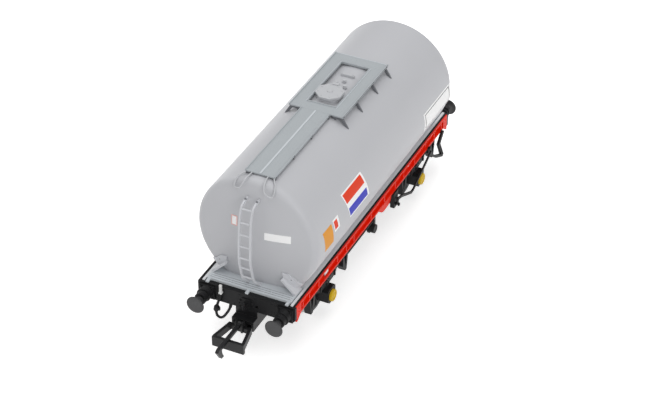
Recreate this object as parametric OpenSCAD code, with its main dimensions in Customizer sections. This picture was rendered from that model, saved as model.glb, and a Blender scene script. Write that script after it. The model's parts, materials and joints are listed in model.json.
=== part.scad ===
// Model railway tank wagon: two axles, a long tank lying between the solebars, hook couplings.
// Millimetres. X runs along the wagon with the ladder end at -X, Y runs across it, and Z
// points up from the lowest point of the wheel flanges. Heights in the Customizer sections
// are above the rail top, which is one flange depth above Z = 0.

/* [Tank] */
// Outer radius of the tank shell
tank_radius = 17.4; // [14.5:0.1:18]
// Length of the tank over its domed ends
tank_length = 93.4; // [84:0.2:115]
// Radius of the rounded rim between shell and dome
knuckle_radius = 2.2; // [1.5:0.1:3]
// Spherical radius of the domed ends
crown_radius = 67.7; // [50:0.1:90]
// Height of the tank's underside
tank_bottom_height = 13.15; // [12.9:0.05:14.2]
// Diameter of the manhole collar
collar_diameter = 6.2; // [4.5:0.1:6.6]
// Height of the collar above the top of the shell
collar_height = 1; // [0.9:0.1:1.8]
// Width across the flats of the eight-sided manhole lid
lid_across_flats = 7.4; // [6.8:0.1:7.6]
// Thickness of the manhole lid
lid_thickness = 0.75; // [0.5:0.05:1.2]

/* [Walkway] */
// Width of the narrow deck
deck_width = 8.6; // [7.2:0.1:10.4]
// Distance from the tank's ladder end to the start of the deck
deck_setback = 5; // [3.5:0.1:8]
// Length of the narrow deck, up to the frame round the manhole
deck_length = 32.4; // [26:0.1:36]
// Width of the frame round the manhole
walk_frame_width = 16; // [14:0.1:19.2]
// Length of the frame round the manhole
walk_frame_length = 29.3; // [26:0.1:36]
// Width of the opening in the frame
walk_opening_width = 8.2; // [7.8:0.1:9]
// Length of the opening in the frame
walk_opening_length = 21.4; // [18:0.1:24]
// Width of the frame's strip at the ladder end
walk_near_strip = 3.7; // [2.5:0.1:5]
// Gap between the top of the shell and the decks
walk_gap = 0.25; // [0.15:0.05:0.6]
// Thickness of the decks
walk_thickness = 0.4; // [0.3:0.05:0.8]
// Height of the raised edges of the decks
lip_height = 0.25; // [0.1:0.05:0.5]
// Width of the raised edges of the decks
lip_width = 0.3; // [0.2:0.05:0.6]

/* [Ladder] */
// Width over the two stiles
ladder_width = 3.7; // [3:0.1:4.6]
// Sideways place of the ladder's centre line
ladder_offset = 0; // [-3:0.05:3]
// Width of a stile
stile_width = 0.6; // [0.4:0.05:0.8]
// Thickness of a stile
stile_thickness = 0.45; // [0.3:0.05:0.7]
// Diameter of a rung
rung_diameter = 0.45; // [0.3:0.05:0.55]
// Number of rungs
rung_count = 7; // [5:1:11]
// Diameter of the handrail wire
wire_diameter = 0.45; // [0.3:0.05:0.6]

/* [Underframe] */
// Width over the solebars
frame_width = 28.4; // [26.6:0.2:32]
// Distance from the end of the tank to the headstock's face
end_platform = 4.3; // [3.6:0.1:5.2]
// Height of the top of the solebars
solebar_top = 16.25; // [15.8:0.05:17]
// Depth of the solebars
solebar_depth = 3.3; // [2.8:0.05:4]
// Width of the solebar flanges
solebar_flange = 0.8; // [0.6:0.05:1]
// Thickness of the solebar's web and flanges
solebar_wall = 0.5; // [0.35:0.05:0.6]
// Depth of the headstocks
headstock_depth = 4.85; // [4.4:0.05:5.4]
// Thickness of the headstock's front plate
headstock_wall = 0.9; // [0.6:0.05:1.2]
// Depth of the flat frame members beside the tank
member_depth = 1.3; // [1:0.05:1.6]
// Thickness of the end decks
end_deck_thickness = 0.7; // [0.5:0.05:1]
// Width of the end decks
end_deck_width = 24.6; // [21:0.1:26]

/* [Wheels] */
// Distance between the two axles
wheelbase = 60; // [50:0.5:64]
// Diameter of the wheel treads
wheel_diameter = 12.4; // [10.3:0.1:12.6]
// Depth of the wheel flanges
flange_depth = 0.75; // [0.5:0.05:0.9]
// Distance between the backs of the two wheels on an axle
back_to_back = 14.4; // [14:0.1:14.8]
// Width of a wheel
wheel_width = 2.8; // [2.3:0.1:3]
// Diameter of an axle
axle_diameter = 2; // [1.5:0.1:2.4]
// Diameter of the bearing journals at the ends of an axle
journal_diameter = 1.4; // [1:0.1:1.7]
// Radial clearance of a journal in its bearing
bearing_clearance = 0.05; // [0.02:0.01:0.1]

/* [Suspension] */
// Distance from the middle of the spring to the end of its longest leaf
spring_reach = 8.6; // [7.6:0.1:9.6]
// Number of spring leaves
leaf_count = 4; // [3:1:4]
// Thickness of a spring leaf
leaf_thickness = 0.45; // [0.35:0.05:0.5]
// Radius of the curve of the spring
spring_curve = 36; // [30:1:60]
// Diameter of the round axlebox cap
cap_diameter = 3.5; // [2.9:0.1:4.6]
// How far the cap stands out from the box
cap_length = 0.8; // [0.6:0.1:1.2]

/* [Buffers] */
// Distance from the headstock's face to the face of a buffer head
buffer_reach = 7; // [5.8:0.1:9]
// Length of a buffer housing
housing_length = 3.6; // [2.6:0.1:4]
// Distance between the centres of a pair of buffers
buffer_spacing = 22.8; // [21:0.1:23.4]
// Height of the buffer centres
buffer_height = 13.8; // [13.4:0.1:14.4]
// Diameter of a buffer head
buffer_head_diameter = 5; // [4:0.1:5.4]
// Thickness of a buffer head
buffer_head_thickness = 0.5; // [0.5:0.05:1.2]

/* [Couplings] */
// Height of the middle of the coupling's front bar
bar_height = 7.2; // [6.9:0.1:7.6]
// Height of the front bar from its lower to its upper edge
bar_depth = 3; // [2.4:0.1:3.4]
// Width of the front bar
bar_width = 9.2; // [7.4:0.1:10]
// Distance from the headstock's face to the front bar's face
bar_reach = 10.8; // [9.6:0.1:12.5]
// Distance from the front bar's face to the nose of the hook
hook_reach = 6; // [5:0.1:7]
// Thickness of the coupling's arms, bar and hook
coupling_wall = 0.9; // [0.7:0.05:1.1]
// Diameter of the pin that the coupling swings on
swing_pin_diameter = 1.3; // [1:0.1:1.6]
// Diameter of the pin that the hook lifts on
hook_pin_diameter = 0.8; // [0.6:0.05:1]
// Radial clearance on the coupling's pins
pin_clearance = 0.06; // [0.03:0.01:0.1]

/* [Hidden] */

$fn = 48;
// Fine division for the large round shapes
fine = 96;
// Gap between pieces that are glued or clipped round a curved surface
seat = 0.03;

rail_z = flange_depth;
axle_x = wheelbase / 2;
axle_z = rail_z + wheel_diameter / 2;
flange_radius = wheel_diameter / 2 + flange_depth;

tank_end_x = tank_length / 2;
tank_z = rail_z + tank_bottom_height + tank_radius;
tank_top_z = tank_z + tank_radius;
crown_centre = tank_end_x - crown_radius;
knuckle_centre_r = tank_radius - knuckle_radius;
knuckle_slant = crown_radius - knuckle_radius;
knuckle_x = crown_centre + sqrt(knuckle_slant * knuckle_slant - knuckle_centre_r * knuckle_centre_r);

headstock_x = tank_end_x + end_platform;
frame_half = frame_width / 2;
solebar_top_z = rail_z + solebar_top;
solebar_bottom_z = solebar_top_z - solebar_depth;
member_bottom_z = solebar_top_z - member_depth;
web_y = frame_half - solebar_flange;
member_y = web_y - solebar_wall;
solebar_end_x = headstock_x - headstock_wall;
headstock_bottom_z = solebar_top_z - headstock_depth;
headstock_flange = 1.5;
end_deck_top_z = solebar_top_z + end_deck_thickness;

walk_under_z = tank_top_z + walk_gap;
walk_top_z = walk_under_z + walk_thickness;
deck_start_x = -tank_end_x + deck_setback;
walk_frame_x = deck_start_x + deck_length;
opening_x = walk_frame_x + walk_near_strip;
manhole_x = opening_x + lid_across_flats / 2 + 1.4;
fitting_x = opening_x + walk_opening_length - 5;

buffer_z = rail_z + buffer_height;
buffer_face_x = headstock_x + buffer_reach;
buffer_y = buffer_spacing / 2;

// The wheels stand between these two planes, and the guards stand just outside them
wheel_back_y = back_to_back / 2;
wheel_face_y = wheel_back_y + wheel_width;
hub_stand = 0.2;
guard_y = wheel_face_y + hub_stand + 0.4;
guard_wall = 0.8;
box_y = guard_y + guard_wall;
box_depth = 3.3;
cap_y = box_y + box_depth;
axle_tip_y = cap_y - 1;
box_half = 2.3;
box_top = 2.6;
box_bottom = 2.1;
spring_seat = 0.5;
spring_bottom_z = axle_z + box_top + spring_seat;
spring_y = box_y + 0.4;
spring_width = 1.6;
// Distance from the axle to the far edge of a spring hanger
hanger_length = spring_reach + 3.25;

longitudinal_y = 5.6;
longitudinal_width = 1.2;
longitudinal_bottom_z = rail_z + 11.6;
longitudinal_depth = 1.4;

shaft_x = axle_x - 17.9;
shaft_z = rail_z + 8.95;
shaft_diameter = 1;
arm_drop = 2.8;
rod_diameter = 0.6;
lever_y = max(cap_y, frame_half) + 0.35;
lever_thickness = 0.5;
lever_width = 0.8;
// The lever runs from its pivot, dips, and rises over the axlebox cap to its guide
lever_points = [[shaft_x, shaft_z], [shaft_x - 0.4, shaft_z + 1.9], [shaft_x + 2.5, shaft_z + 1.2],
                [axle_x - 8.5, axle_z + 0.75], [axle_x - 7, axle_z + 0.75], [axle_x - 1.5, axle_z + 3.1],
                [axle_x + 4.5, axle_z + 5.7], [axle_x + 6, axle_z + 6]];
guide_y = [frame_half, lever_y - 0.05];

pipe_x = shaft_x - 13.5;
pipe_z = shaft_z;
pipe_diameter = 2.2;

// The inner bearers stand clear of the wheels and of the outlet pipe
bearer_length = 3;
bearer_x = [tank_end_x - 5.7, max(axle_x - flange_radius - 9, bearer_length / 2 + 1.6 - pipe_x)];
bearer_bottom_z = longitudinal_bottom_z + 0.9;

pocket_front_x = headstock_x + 2.4;
pocket_back_x = headstock_x - 7;
swing_x = headstock_x - 3;
bar_top_z = rail_z + bar_height + bar_depth / 2;
bar_bottom_z = bar_top_z - bar_depth;
bar_face_x = headstock_x + bar_reach;
tail_z = bar_top_z - 0.2;
tail_thickness = 0.9;
pocket_gap = 0.15;
hook_nose_x = bar_face_x + hook_reach;
hook_thickness = 1;
hook_pin_x = pocket_front_x + 1.5;
hook_pin_z = bar_top_z + 0.8;

hose_diameter = 0.7;
// Centre line of the moulded hose at the far end: [beyond the headstock's face, across, above the rail]
hose_route = [[0.5, 7.2, 14.48], [0.6, 7.4, 13.2], [0.8, 8.0, 11.4], [0.9, 8.4, 9.6], [0.9, 8.5, 8.2],
              [0.8, 8.3, 7.1], [0.6, 7.6, 6.5], [0.4, 6.8, 6.8], [0.2, 6.0, 7.9], [0, 5.3, 9.2],
              [-0.3, 4.9, 10.4], [-0.5, 4.8, 11.3]];

ladder_foot_z = end_deck_top_z;
ladder_top_z = tank_top_z - 4.55;
ladder_height = ladder_top_z - ladder_foot_z;
// The stiles bow away from the tank: [share of the height, distance beyond the tank's end]
ladder_bow = [[0, -0.3], [0.102, 2.4], [0.181, 3.25], [0.287, 4], [0.386, 4.5], [0.476, 4.45],
              [0.582, 4.25], [0.707, 3.95], [0.82, 3.6], [0.907, 3], [0.96, 2.3], [0.977, 1.7],
              [0.9925, 0.5], [1, -1.2]];
ladder_points = [for (p = curve(ladder_bow, 3)) [tank_end_x + p[1], ladder_foot_z + p[0] * ladder_height]];

// Draws the +X end as it stands for side = 1 and its mirror image for side = -1
module at_end(side) mirror([side > 0 ? 0 : 1, 0, 0]) children();

// Draws the -Y side as it stands for side = -1 and its mirror image for side = 1
module at_side(side) mirror([0, side > 0 ? 1 : 0, 0]) children();

module both_ends() for (side = [-1, 1]) at_end(side) children();
module both_sides() for (side = [-1, 1]) at_side(side) children();

// A block between two corners
module block(low, high) translate(low) cube(high - low);

// An outline in the XZ plane, as thick as the Y range
module slab_y(y_low, y_high) translate([0, y_high, 0]) rotate([90, 0, 0])
    linear_extrude(y_high - y_low) children();

// An outline in the YZ plane, as thick as the X range
module slab_x(x_low, x_high) translate([x_low, 0, 0]) rotate([90, 0, 90])
    linear_extrude(x_high - x_low) children();

// A straight round bar from one point to another
module bar(from, to, diameter) {
    run = to - from;
    flat = norm([run[0], run[1]]);
    translate(from) rotate([0, atan2(flat, run[2]), atan2(run[1], run[0])])
        cylinder(d = diameter, h = norm(run), $fn = 24);
}

// Points of a smooth curve through a list of points, with some steps between each pair
function curve(points, steps) =
    let (last = len(points) - 1)
    concat([for (i = [0:last - 1], k = [0:steps - 1])
        let (t = k / steps, a = points[max(i - 1, 0)], b = points[i], c = points[i + 1],
             d = points[min(i + 2, last)])
        b + (c - a) * t / 2 + (2 * a - 5 * b + 4 * c - d) * t * t / 2 + (3 * b - a - 3 * c + d) * t * t * t / 2],
        [points[last]]);

// A bent round wire along a list of points; up is a direction that it never runs along
module wire(points, diameter, up, sides = 10) {
    last = len(points) - 1;
    rings = [for (i = [0:last])
        let (ahead = unit(points[min(i + 1, last)] - points[max(i - 1, 0)]),
             across = unit(cross(ahead, up)), over = cross(ahead, across))
        for (k = [0:sides - 1]) let (turn = 360 * k / sides)
        points[i] + (across * cos(turn) + over * sin(turn)) * diameter / 2];
    walls = [for (i = [0:last - 1], k = [0:sides - 1]) let (n = (k + 1) % sides)
        each [[i * sides + k, (i + 1) * sides + k, (i + 1) * sides + n],
              [i * sides + k, (i + 1) * sides + n, i * sides + n]]];
    polyhedron(rings, concat(walls, [[for (k = [0:sides - 1]) k]],
                             [[for (k = [sides - 1:-1:0]) last * sides + k]]));
}

function unit(v) = v / norm(v);
// Sideways direction at point i of a path, which bisects the bend there
function side_at(path, i) =
    let (before = unit(path[max(i, 1)] - path[max(i, 1) - 1]),
         after = unit(path[min(i, len(path) - 2) + 1] - path[min(i, len(path) - 2)]),
         mean = unit(before + after))
    [-mean[1], mean[0]] / (before * mean);

// Outline of a flat band of even width along a path
function band(path, width) =
    concat([for (i = [0:len(path) - 1]) path[i] + side_at(path, i) * width / 2],
           [for (i = [len(path) - 1:-1:0]) path[i] - side_at(path, i) * width / 2]);

// ---------------------------------------------------------------- tank

// Height of the shell's surface at a place across
function shell_z(y) = tank_z + sqrt(tank_radius * tank_radius - y * y);

// Half outline of the tank, grown by a clearance: x is the radius, y the place along it
module tank_outline(grow) {
    lean = asin(knuckle_centre_r / knuckle_slant);
    far = crown_radius + grow + 5;
    translate([0, -knuckle_x]) square([tank_radius + grow, 2 * knuckle_x]);
    for (side = [-1, 1]) {
        intersection() {
            translate([knuckle_centre_r, side * knuckle_x]) circle(knuckle_radius + grow);
            translate([0, -tank_end_x]) square([tank_radius + 2, tank_length]);
        }
        intersection() {
            translate([0, side * crown_centre]) circle(crown_radius + grow, $fn = fine * 4);
            polygon([[0, side * crown_centre], [0, side * (crown_centre + far)],
                     [far * sin(lean), side * (crown_centre + far * cos(lean))]]);
        }
    }
}

module tank_body(grow) translate([0, 0, tank_z]) rotate([0, 90, 0])
    rotate_extrude($fn = fine) tank_outline(grow);

module tank_barrel() color("lightsteelblue") tank_body(0);

module manhole_collar() color("lightsteelblue") difference() {
    translate([manhole_x, 0, tank_top_z - 1])
        cylinder(d = collar_diameter, h = 1 + collar_height);
    tank_body(seat);
}

module manhole_lid() color("lightslategray") {
    lid_z = tank_top_z + collar_height;
    translate([manhole_x, 0, lid_z]) {
        rotate(22.5) cylinder(d = lid_across_flats / cos(22.5), h = lid_thickness, $fn = 8);
        translate([0, 0, lid_thickness]) cylinder(d = 1.6, h = 0.25);
    }
}

// Relief valves and a lifting bar stand on the shell inside the walkway's opening
module tank_fittings() color("lightslategray") difference() {
    union() {
        for (place = [[5.6, -1.8], [6.6, 1.2], [8.2, -0.4]])
            translate([manhole_x + place[0], place[1], tank_top_z - 0.6])
                cylinder(d = 0.9, h = 1.1);
        block([fitting_x - 0.4, -2, tank_top_z - 0.6], [fitting_x + 0.4, 2, tank_top_z + 0.7]);
    }
    tank_body(seat);
}

// ---------------------------------------------------------------- walkway

// A deck plate with raised edges along both long sides
module deck_plate(x_low, x_high, half) {
    block([x_low, -half, walk_under_z], [x_high, half, walk_top_z]);
    for (side = [-1, 1]) translate([x_low, side * (half - lip_width / 2) - lip_width / 2, walk_top_z])
        cube([x_high - x_low, lip_width, lip_height]);
}

module walkway_deck() color("lightslategray") {
    seam = 0.25;
    deck_plate(deck_start_x, walk_frame_x, deck_width / 2);
    block([deck_start_x, -seam, walk_top_z], [walk_frame_x, seam, walk_top_z + 0.12]);
}

module walkway_frame() color("lightslategray") {
    opening_half = walk_opening_width / 2;
    opening_end_x = opening_x + walk_opening_length;
    difference() {
        union() {
            deck_plate(walk_frame_x, walk_frame_x + walk_frame_length, walk_frame_width / 2);
            block([opening_x - lip_width, -opening_half - lip_width, walk_top_z],
                  [opening_end_x + lip_width, opening_half + lip_width, walk_top_z + lip_height]);
        }
        block([opening_x, -opening_half, walk_under_z - 1],
              [opening_end_x, opening_half, walk_top_z + 1]);
    }
}

// Cross plates under the deck, and splayed legs at the sides of the frame
module walkway_brackets() color("slategray") difference() {
    plate = 0.5;
    low_z = tank_top_z - 4;
    inner_y = walk_opening_width / 2 + 0.6;
    outer_y = walk_frame_width / 2 - 0.3;
    foot_y = outer_y + 2.2;
    foot_z = shell_z(foot_y) - 0.4;
    side_places = [0.5, 9.5, 19.5, walk_frame_length - 1];
    union() {
        for (i = [0:3]) translate([deck_start_x + 0.3 + i * (deck_length - 1.2) / 3, 0, 0])
            block([0, -deck_width / 2, low_z], [plate, deck_width / 2, walk_under_z]);
        for (place = side_places, side = [-1, 1]) translate([walk_frame_x + place, 0, 0])
            slab_x(-plate / 2, plate / 2) mirror([side > 0 ? 0 : 1, 0]) polygon([
                [inner_y, low_z], [inner_y, walk_under_z], [outer_y, walk_under_z],
                [foot_y, foot_z], [foot_y - 0.6, foot_z], [outer_y - 0.7, tank_top_z - 0.4],
                [inner_y + 0.9, tank_top_z - 0.4], [inner_y + 0.9, low_z]]);
    }
    tank_body(seat);
}

// ---------------------------------------------------------------- ladder and handrails

module end_ladder() color("lightslategray") at_end(-1) difference() {
    union() {
        for (side = [-1, 1]) {
            inner = side * (ladder_width - stile_thickness) / 2 + ladder_offset;
            slab_y(inner - stile_thickness / 2, inner + stile_thickness / 2)
                polygon(band(ladder_points, stile_width));
        }
        for (i = [1:rung_count]) {
            share = 0.15 + 0.8 * (i - 1) / (rung_count - 1);
            x = lookup(share, [for (p = curve(ladder_bow, 3)) [p[0], tank_end_x + p[1]]]);
            translate([x, ladder_offset - ladder_width / 2 + 0.2, ladder_foot_z + share * ladder_height])
                rotate([-90, 0, 0]) cylinder(d = rung_diameter, h = ladder_width - 0.4, $fn = 24);
        }
    }
    tank_body(seat);
    block([0, -20, 0], [headstock_x, 20, ladder_foot_z]);
}

// Two hoops of wire that run from the end of the deck over the shoulder of the tank
module grab_rails() color("lightslategray") at_end(-1) {
    edge = deck_width / 2;
    // Distance beyond the start of the rounded rim, out from the deck's edge, and above the shell there
    hoop = [[0.8, -1.8, 0.5], [2.5, -1.4, -0.15], [3.4, -0.9, -1.25], [3.3, -0.1, -1.8],
            [2.9, 0.9, -1.8], [2.6, 1.3, -1.05], [1.7, 1.2, 0], [0.8, 0.9, 0.6]];
    points = concat([[0.02 - deck_start_x, 2 - edge, shell_z(edge - 2) + 0.55]],
                    [for (p = hoop) [knuckle_x + p[0], -edge - p[1], shell_z(edge + p[1]) + p[2]]],
                    [[0.05 - deck_start_x, 0.25 - edge, shell_z(edge - 0.25) + 0.7]]);
    both_sides() wire(curve(points, 3), wire_diameter, [1, 0, 1]);
}

// ---------------------------------------------------------------- ends of the underframe

// The plate at the foot of the tank, with three tabs that lie on the headstock
module end_deck(side) color("lightslategray") at_end(side) {
    half = end_deck_width / 2;
    difference() {
        block([tank_end_x - 4, -half, solebar_top_z], [headstock_x - 1.5, half, end_deck_top_z]);
        tank_body(seat);
    }
    for (y = [-half + 0.7, 0, half - 0.7])
        block([headstock_x - 1.5, y - 0.42, solebar_top_z], [headstock_x - 0.2, y + 0.42, solebar_top_z + 0.5]);
}

module end_deck_near() end_deck(-1);
module end_deck_far() end_deck(1);

// Sloping stays between the end decks and the tank, each with a flange that fits the dome
module tank_stays() color("lightslategray") both_ends() both_sides() difference() {
    foot_y = end_deck_width / 2;
    foot_z = end_deck_top_z;
    union() {
        slab_x(tank_end_x - 3.2, tank_end_x + 0.2) polygon([
            [-8.3, foot_z + 4.1], [-7.9, foot_z + 3.7], [0.6 - foot_y, foot_z], [-foot_y, foot_z],
            [-foot_y, foot_z + 0.4]]);
        intersection() {
            tank_body(0.45);
            slab_x(knuckle_x, tank_end_x + 1) polygon([
                [-8.3, foot_z + 4], [-8, foot_z + 5.7], [-9.9, foot_z + 5.4], [-13, foot_z + 2.6],
                [-foot_y, foot_z + 0.3]]);
        }
    }
    tank_body(seat);
}

module headstock(side) color("dimgray") at_end(side) {
    inner_x = solebar_end_x - headstock_flange;
    chamfer = 0.9;
    hole = 0.9;
    difference() {
        slab_x(solebar_end_x, headstock_x) polygon([
            [-frame_half, solebar_top_z], [frame_half, solebar_top_z],
            [frame_half, headstock_bottom_z + chamfer], [frame_half - chamfer, headstock_bottom_z],
            [chamfer - frame_half, headstock_bottom_z], [-frame_half, headstock_bottom_z + chamfer]]);
        translate([solebar_end_x - 1, 3 * side, buffer_z - 0.7]) rotate([0, 90, 0])
            cylinder(d = hole, h = 3);
    }
    for (z = [solebar_top_z - 0.6, headstock_bottom_z])
        block([inner_x, -member_y, z], [solebar_end_x, member_y, z + 0.6]);
}

module headstock_near() headstock(-1);
module headstock_far() headstock(1);

// ---------------------------------------------------------------- frame members

// Flat members between the solebars and the belly of the tank
module side_members() color("dimgray") both_sides() difference() {
    inner_y = 5.2;
    end_recess_y = 9.4;
    block([-solebar_end_x + headstock_flange, -member_y, member_bottom_z],
          [solebar_end_x - headstock_flange, -inner_y, solebar_top_z]);
    tank_body(0.15);
    both_ends() block([knuckle_x - 1, -end_recess_y, member_bottom_z - 1],
                      [headstock_x, 0, solebar_top_z + 1]);
}

// Thin strips on top of the side members, from the solebars in to the tank
module floor_strips() color("lightslategray") both_sides() difference() {
    outer_y = web_y - 0.2;
    top_z = solebar_top_z + 0.35;
    deck_edge = end_deck_width / 2 + 0.2;
    wide_x = tank_end_x - 4.2;
    union() {
        block([-headstock_x + 0.6, -outer_y, solebar_top_z], [headstock_x - 0.6, 0.7 - outer_y, top_z]);
        block([-wide_x, -outer_y, solebar_top_z], [wide_x, -9, top_z]);
    }
    tank_body(0.15);
    both_ends() block([wide_x, -deck_edge, solebar_top_z - 1], [headstock_x, 0, top_z + 1]);
}

// Four bearers whose curved tops carry the tank
module cross_bearers() color("dimgray") both_ends() for (x = bearer_x) difference() {
    block([x - bearer_length / 2, -member_y, bearer_bottom_z],
          [x + bearer_length / 2, member_y, member_bottom_z]);
    tank_body(seat);
    for (side = [-1, 1]) translate([0, side * longitudinal_y, 0])
        block([x - 3, -longitudinal_width / 2, 0],
              [x + 3, longitudinal_width / 2, longitudinal_bottom_z + longitudinal_depth]);
    // The ends rise over the spring hangers
    both_sides() block([x - 3, -frame_half, 0], [x + 3, -spring_y + 0.05, solebar_bottom_z]);
}

module centre_longitudinals() color("dimgray") both_sides()
    translate([0, -longitudinal_y, longitudinal_bottom_z])
        block([-solebar_end_x + headstock_flange, -longitudinal_width / 2, 0],
              [solebar_end_x - headstock_flange, longitudinal_width / 2, longitudinal_depth]);

// ---------------------------------------------------------------- solebars

// A channel with its open side outwards, ribbed, and deeper at its ends
module solebar() {
    // Places of the ribs, as shares of the half length
    rib_shares = [-0.92, -0.844, -0.733, -0.503, -0.391, -0.295, -0.072, 0.108, 0.255, 0.373, 0.529,
                  0.687, 0.814, 0.92];
    rib_width = 0.4;
    deep_start_x = solebar_end_x - 2.7;
    deep_full_x = solebar_end_x - 0.5;
    both_ends() slab_y(-frame_half, -member_y) polygon([
        [deep_start_x, solebar_bottom_z], [deep_full_x, headstock_bottom_z],
        [solebar_end_x, headstock_bottom_z], [solebar_end_x, solebar_top_z],
        [deep_start_x, solebar_top_z]]);
    block([-deep_start_x, -web_y, solebar_bottom_z], [deep_start_x, -member_y, solebar_top_z]);
    for (z = [solebar_bottom_z, solebar_top_z - solebar_wall])
        block([-deep_start_x, -frame_half, z], [deep_start_x, -web_y, z + solebar_wall]);
    for (share = rib_shares) translate([share * solebar_end_x, 0, 0])
        block([-rib_width / 2, -frame_half + 0.1, solebar_bottom_z + solebar_wall],
              [rib_width / 2, -web_y, solebar_top_z - solebar_wall]);
}

module solebar_left() color("firebrick") at_side(1) solebar();
module solebar_right() color("firebrick") at_side(-1) solebar();

// Rounded plates under the solebars, between the outlet and the brake shaft
module solebar_gussets() color("firebrick") both_sides() {
    low = pipe_x + 1.5;
    high = shaft_x - 1.7;
    depth = 2.5;
    // The lower edge: [share of the length, share of the depth]
    edge = [[0, 0], [0.16, 0.12], [0.32, 0.68], [0.45, 0.96], [0.6, 1], [0.84, 0.94], [0.96, 0.56], [1, 0.1]];
    slab_y(-web_y - 0.6, -web_y) polygon(concat([[high, solebar_bottom_z]],
        [for (p = curve(edge, 3)) [low + p[0] * (high - low), solebar_bottom_z - p[1] * depth]]));
}

// ---------------------------------------------------------------- buffers, hooks and hoses

module at_buffers() both_ends() both_sides() translate([0, -buffer_y, buffer_z])
    rotate([0, 90, 0]) children();

module buffer_housings() color("dimgray") at_buffers() {
    base = 0.6;
    translate([-2, -2.3, headstock_x]) cube([4, 4.6, base]);
    translate([0, 0, headstock_x + base]) cylinder(r1 = 2, r2 = 1.45, h = housing_length - base);
    translate([0, 0, headstock_x + housing_length]) cylinder(r = 1.65, h = 0.5);
}

module buffer_heads() color("dimgray") at_buffers() {
    ram_start = headstock_x + housing_length + 0.5;
    head_back = buffer_face_x - buffer_head_thickness;
    translate([0, 0, ram_start]) cylinder(r = 0.95, h = head_back - ram_start);
    translate([0, 0, head_back]) rotate_extrude() {
        radius = buffer_head_diameter / 2;
        polygon([[0, 0], [radius - 0.3, 0], [radius, 0.25], [radius, buffer_head_thickness - 0.2],
                 [radius - 0.25, buffer_head_thickness], [0, buffer_head_thickness]]);
    }
}

module draw_hooks() color("dimgray") both_ends() {
    half = 0.35;
    block([headstock_x, -1.2, buffer_z - 1.2], [headstock_x + 0.3, 1.2, buffer_z + 1.2]);
    translate([headstock_x + 0.3, 0, 0]) slab_y(-half, half) polygon([
        [0, buffer_z - 0.4], [0, buffer_z + 0.4], [1.1, buffer_z + 0.6], [1.6, buffer_z + 0.1],
        [1.5, buffer_z - 1.6], [1, buffer_z - 2], [0.5, buffer_z - 1.6], [0.9, buffer_z - 1.2],
        [0.9, buffer_z - 0.3]]);
}

function hose_point(p) = [headstock_x + p[0], p[1], rail_z + p[2]];

module brake_hose(side) color("dimgray") at_end(side) {
    wire(curve([for (p = hose_route) hose_point(p)], 3), hose_diameter, [1, 0, 0]);
    translate(hose_point([0.86, 8.25, 9.9])) rotate([12, 0, 0]) difference() {
        translate([-0.65, -0.65, -0.7]) cube([1.3, 1.3, 1.4]);
        translate([-0.36, -0.36, -1]) cube([0.72, 0.72, 2]);
    }
}

module brake_hose_near() brake_hose(-1);
module brake_hose_far() brake_hose(1);

// Cock bodies on the headstocks with their upright handles
module hose_cocks() color("whitesmoke") both_ends() {
    block([headstock_x, 6.75, rail_z + 14.55], [headstock_x + 1, 7.65, rail_z + 15.05]);
    block([headstock_x + 0.2, 6.85, rail_z + 15.05], [headstock_x + 0.8, 7.55, rail_z + 17.3]);
}

// ---------------------------------------------------------------- running gear

module at_axle(side) translate([side * axle_x, 0, axle_z]) children();
module at_axleboxes() both_ends() both_sides() at_axle(1) children();

module bearing_hole() translate([0, -axle_tip_y - 0.15, 0]) rotate([-90, 0, 0])
    cylinder(d = journal_diameter + 2 * bearing_clearance, h = axle_tip_y);

// Guard plates with a window each side of the horns
module axleguards() color("dimgray") {
    top = member_bottom_z - axle_z;
    at_axleboxes() difference() {
        slab_y(-box_y, -guard_y) difference() {
            polygon([[-6.5, top], [6.5, top], [6.5, top - 0.6], [2.6, -1.4], [2.6, -2.8],
                     [-2.6, -2.8], [-2.6, -1.4], [-6.5, top - 0.6]]);
            for (side = [-1, 1]) polygon([[side * 2.9, top - 1], [side * 4.9, top - 1], [side * 2.9, 1.9]]);
        }
        bearing_hole();
    }
}

module axleboxes() color("dimgray") at_axleboxes() difference() {
    union() {
        slab_y(-cap_y, -box_y) polygon([
            [-box_half, box_top - 0.7], [-box_half + 0.7, box_top], [box_half - 0.7, box_top],
            [box_half, box_top - 0.7], [box_half, -1.3], [box_half - 1, -box_bottom],
            [1 - box_half, -box_bottom], [-box_half, -1.3]]);
        block([-1.3, -spring_y - spring_width, box_top], [1.3, -spring_y, box_top + spring_seat]);
    }
    bearing_hole();
}

module axlebox_caps() color("gold") at_axleboxes() translate([0, -cap_y, 0]) rotate([90, 0, 0])
    rotate_extrude() polygon([[0, 0], [cap_diameter / 2, 0], [cap_diameter / 2, cap_length - 0.3],
                              [cap_diameter / 2 - 0.35, cap_length], [0, cap_length]]);

// Leaves curving upwards to their ends, clamped by a buckle over the axlebox
module leaf_springs() color("dimgray") both_ends() both_sides()
    translate([axle_x, 0, spring_bottom_z]) {
        slab_y(-spring_y - spring_width, -spring_y) for (i = [0:leaf_count - 1]) {
            reach = spring_reach * (0.46 + 0.54 * i / (leaf_count - 1));
            intersection() {
                translate([0, spring_curve]) difference() {
                    circle(spring_curve - i * leaf_thickness, $fn = fine * 2);
                    circle(spring_curve - (i + 1) * leaf_thickness, $fn = fine * 2);
                }
                translate([-reach, 0]) square([2 * reach, 8]);
            }
        }
        block([-0.9, -spring_y - spring_width - 0.15, 0],
              [0.9, -spring_y + 0.15, leaf_count * leaf_thickness + 0.5]);
    }

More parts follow.
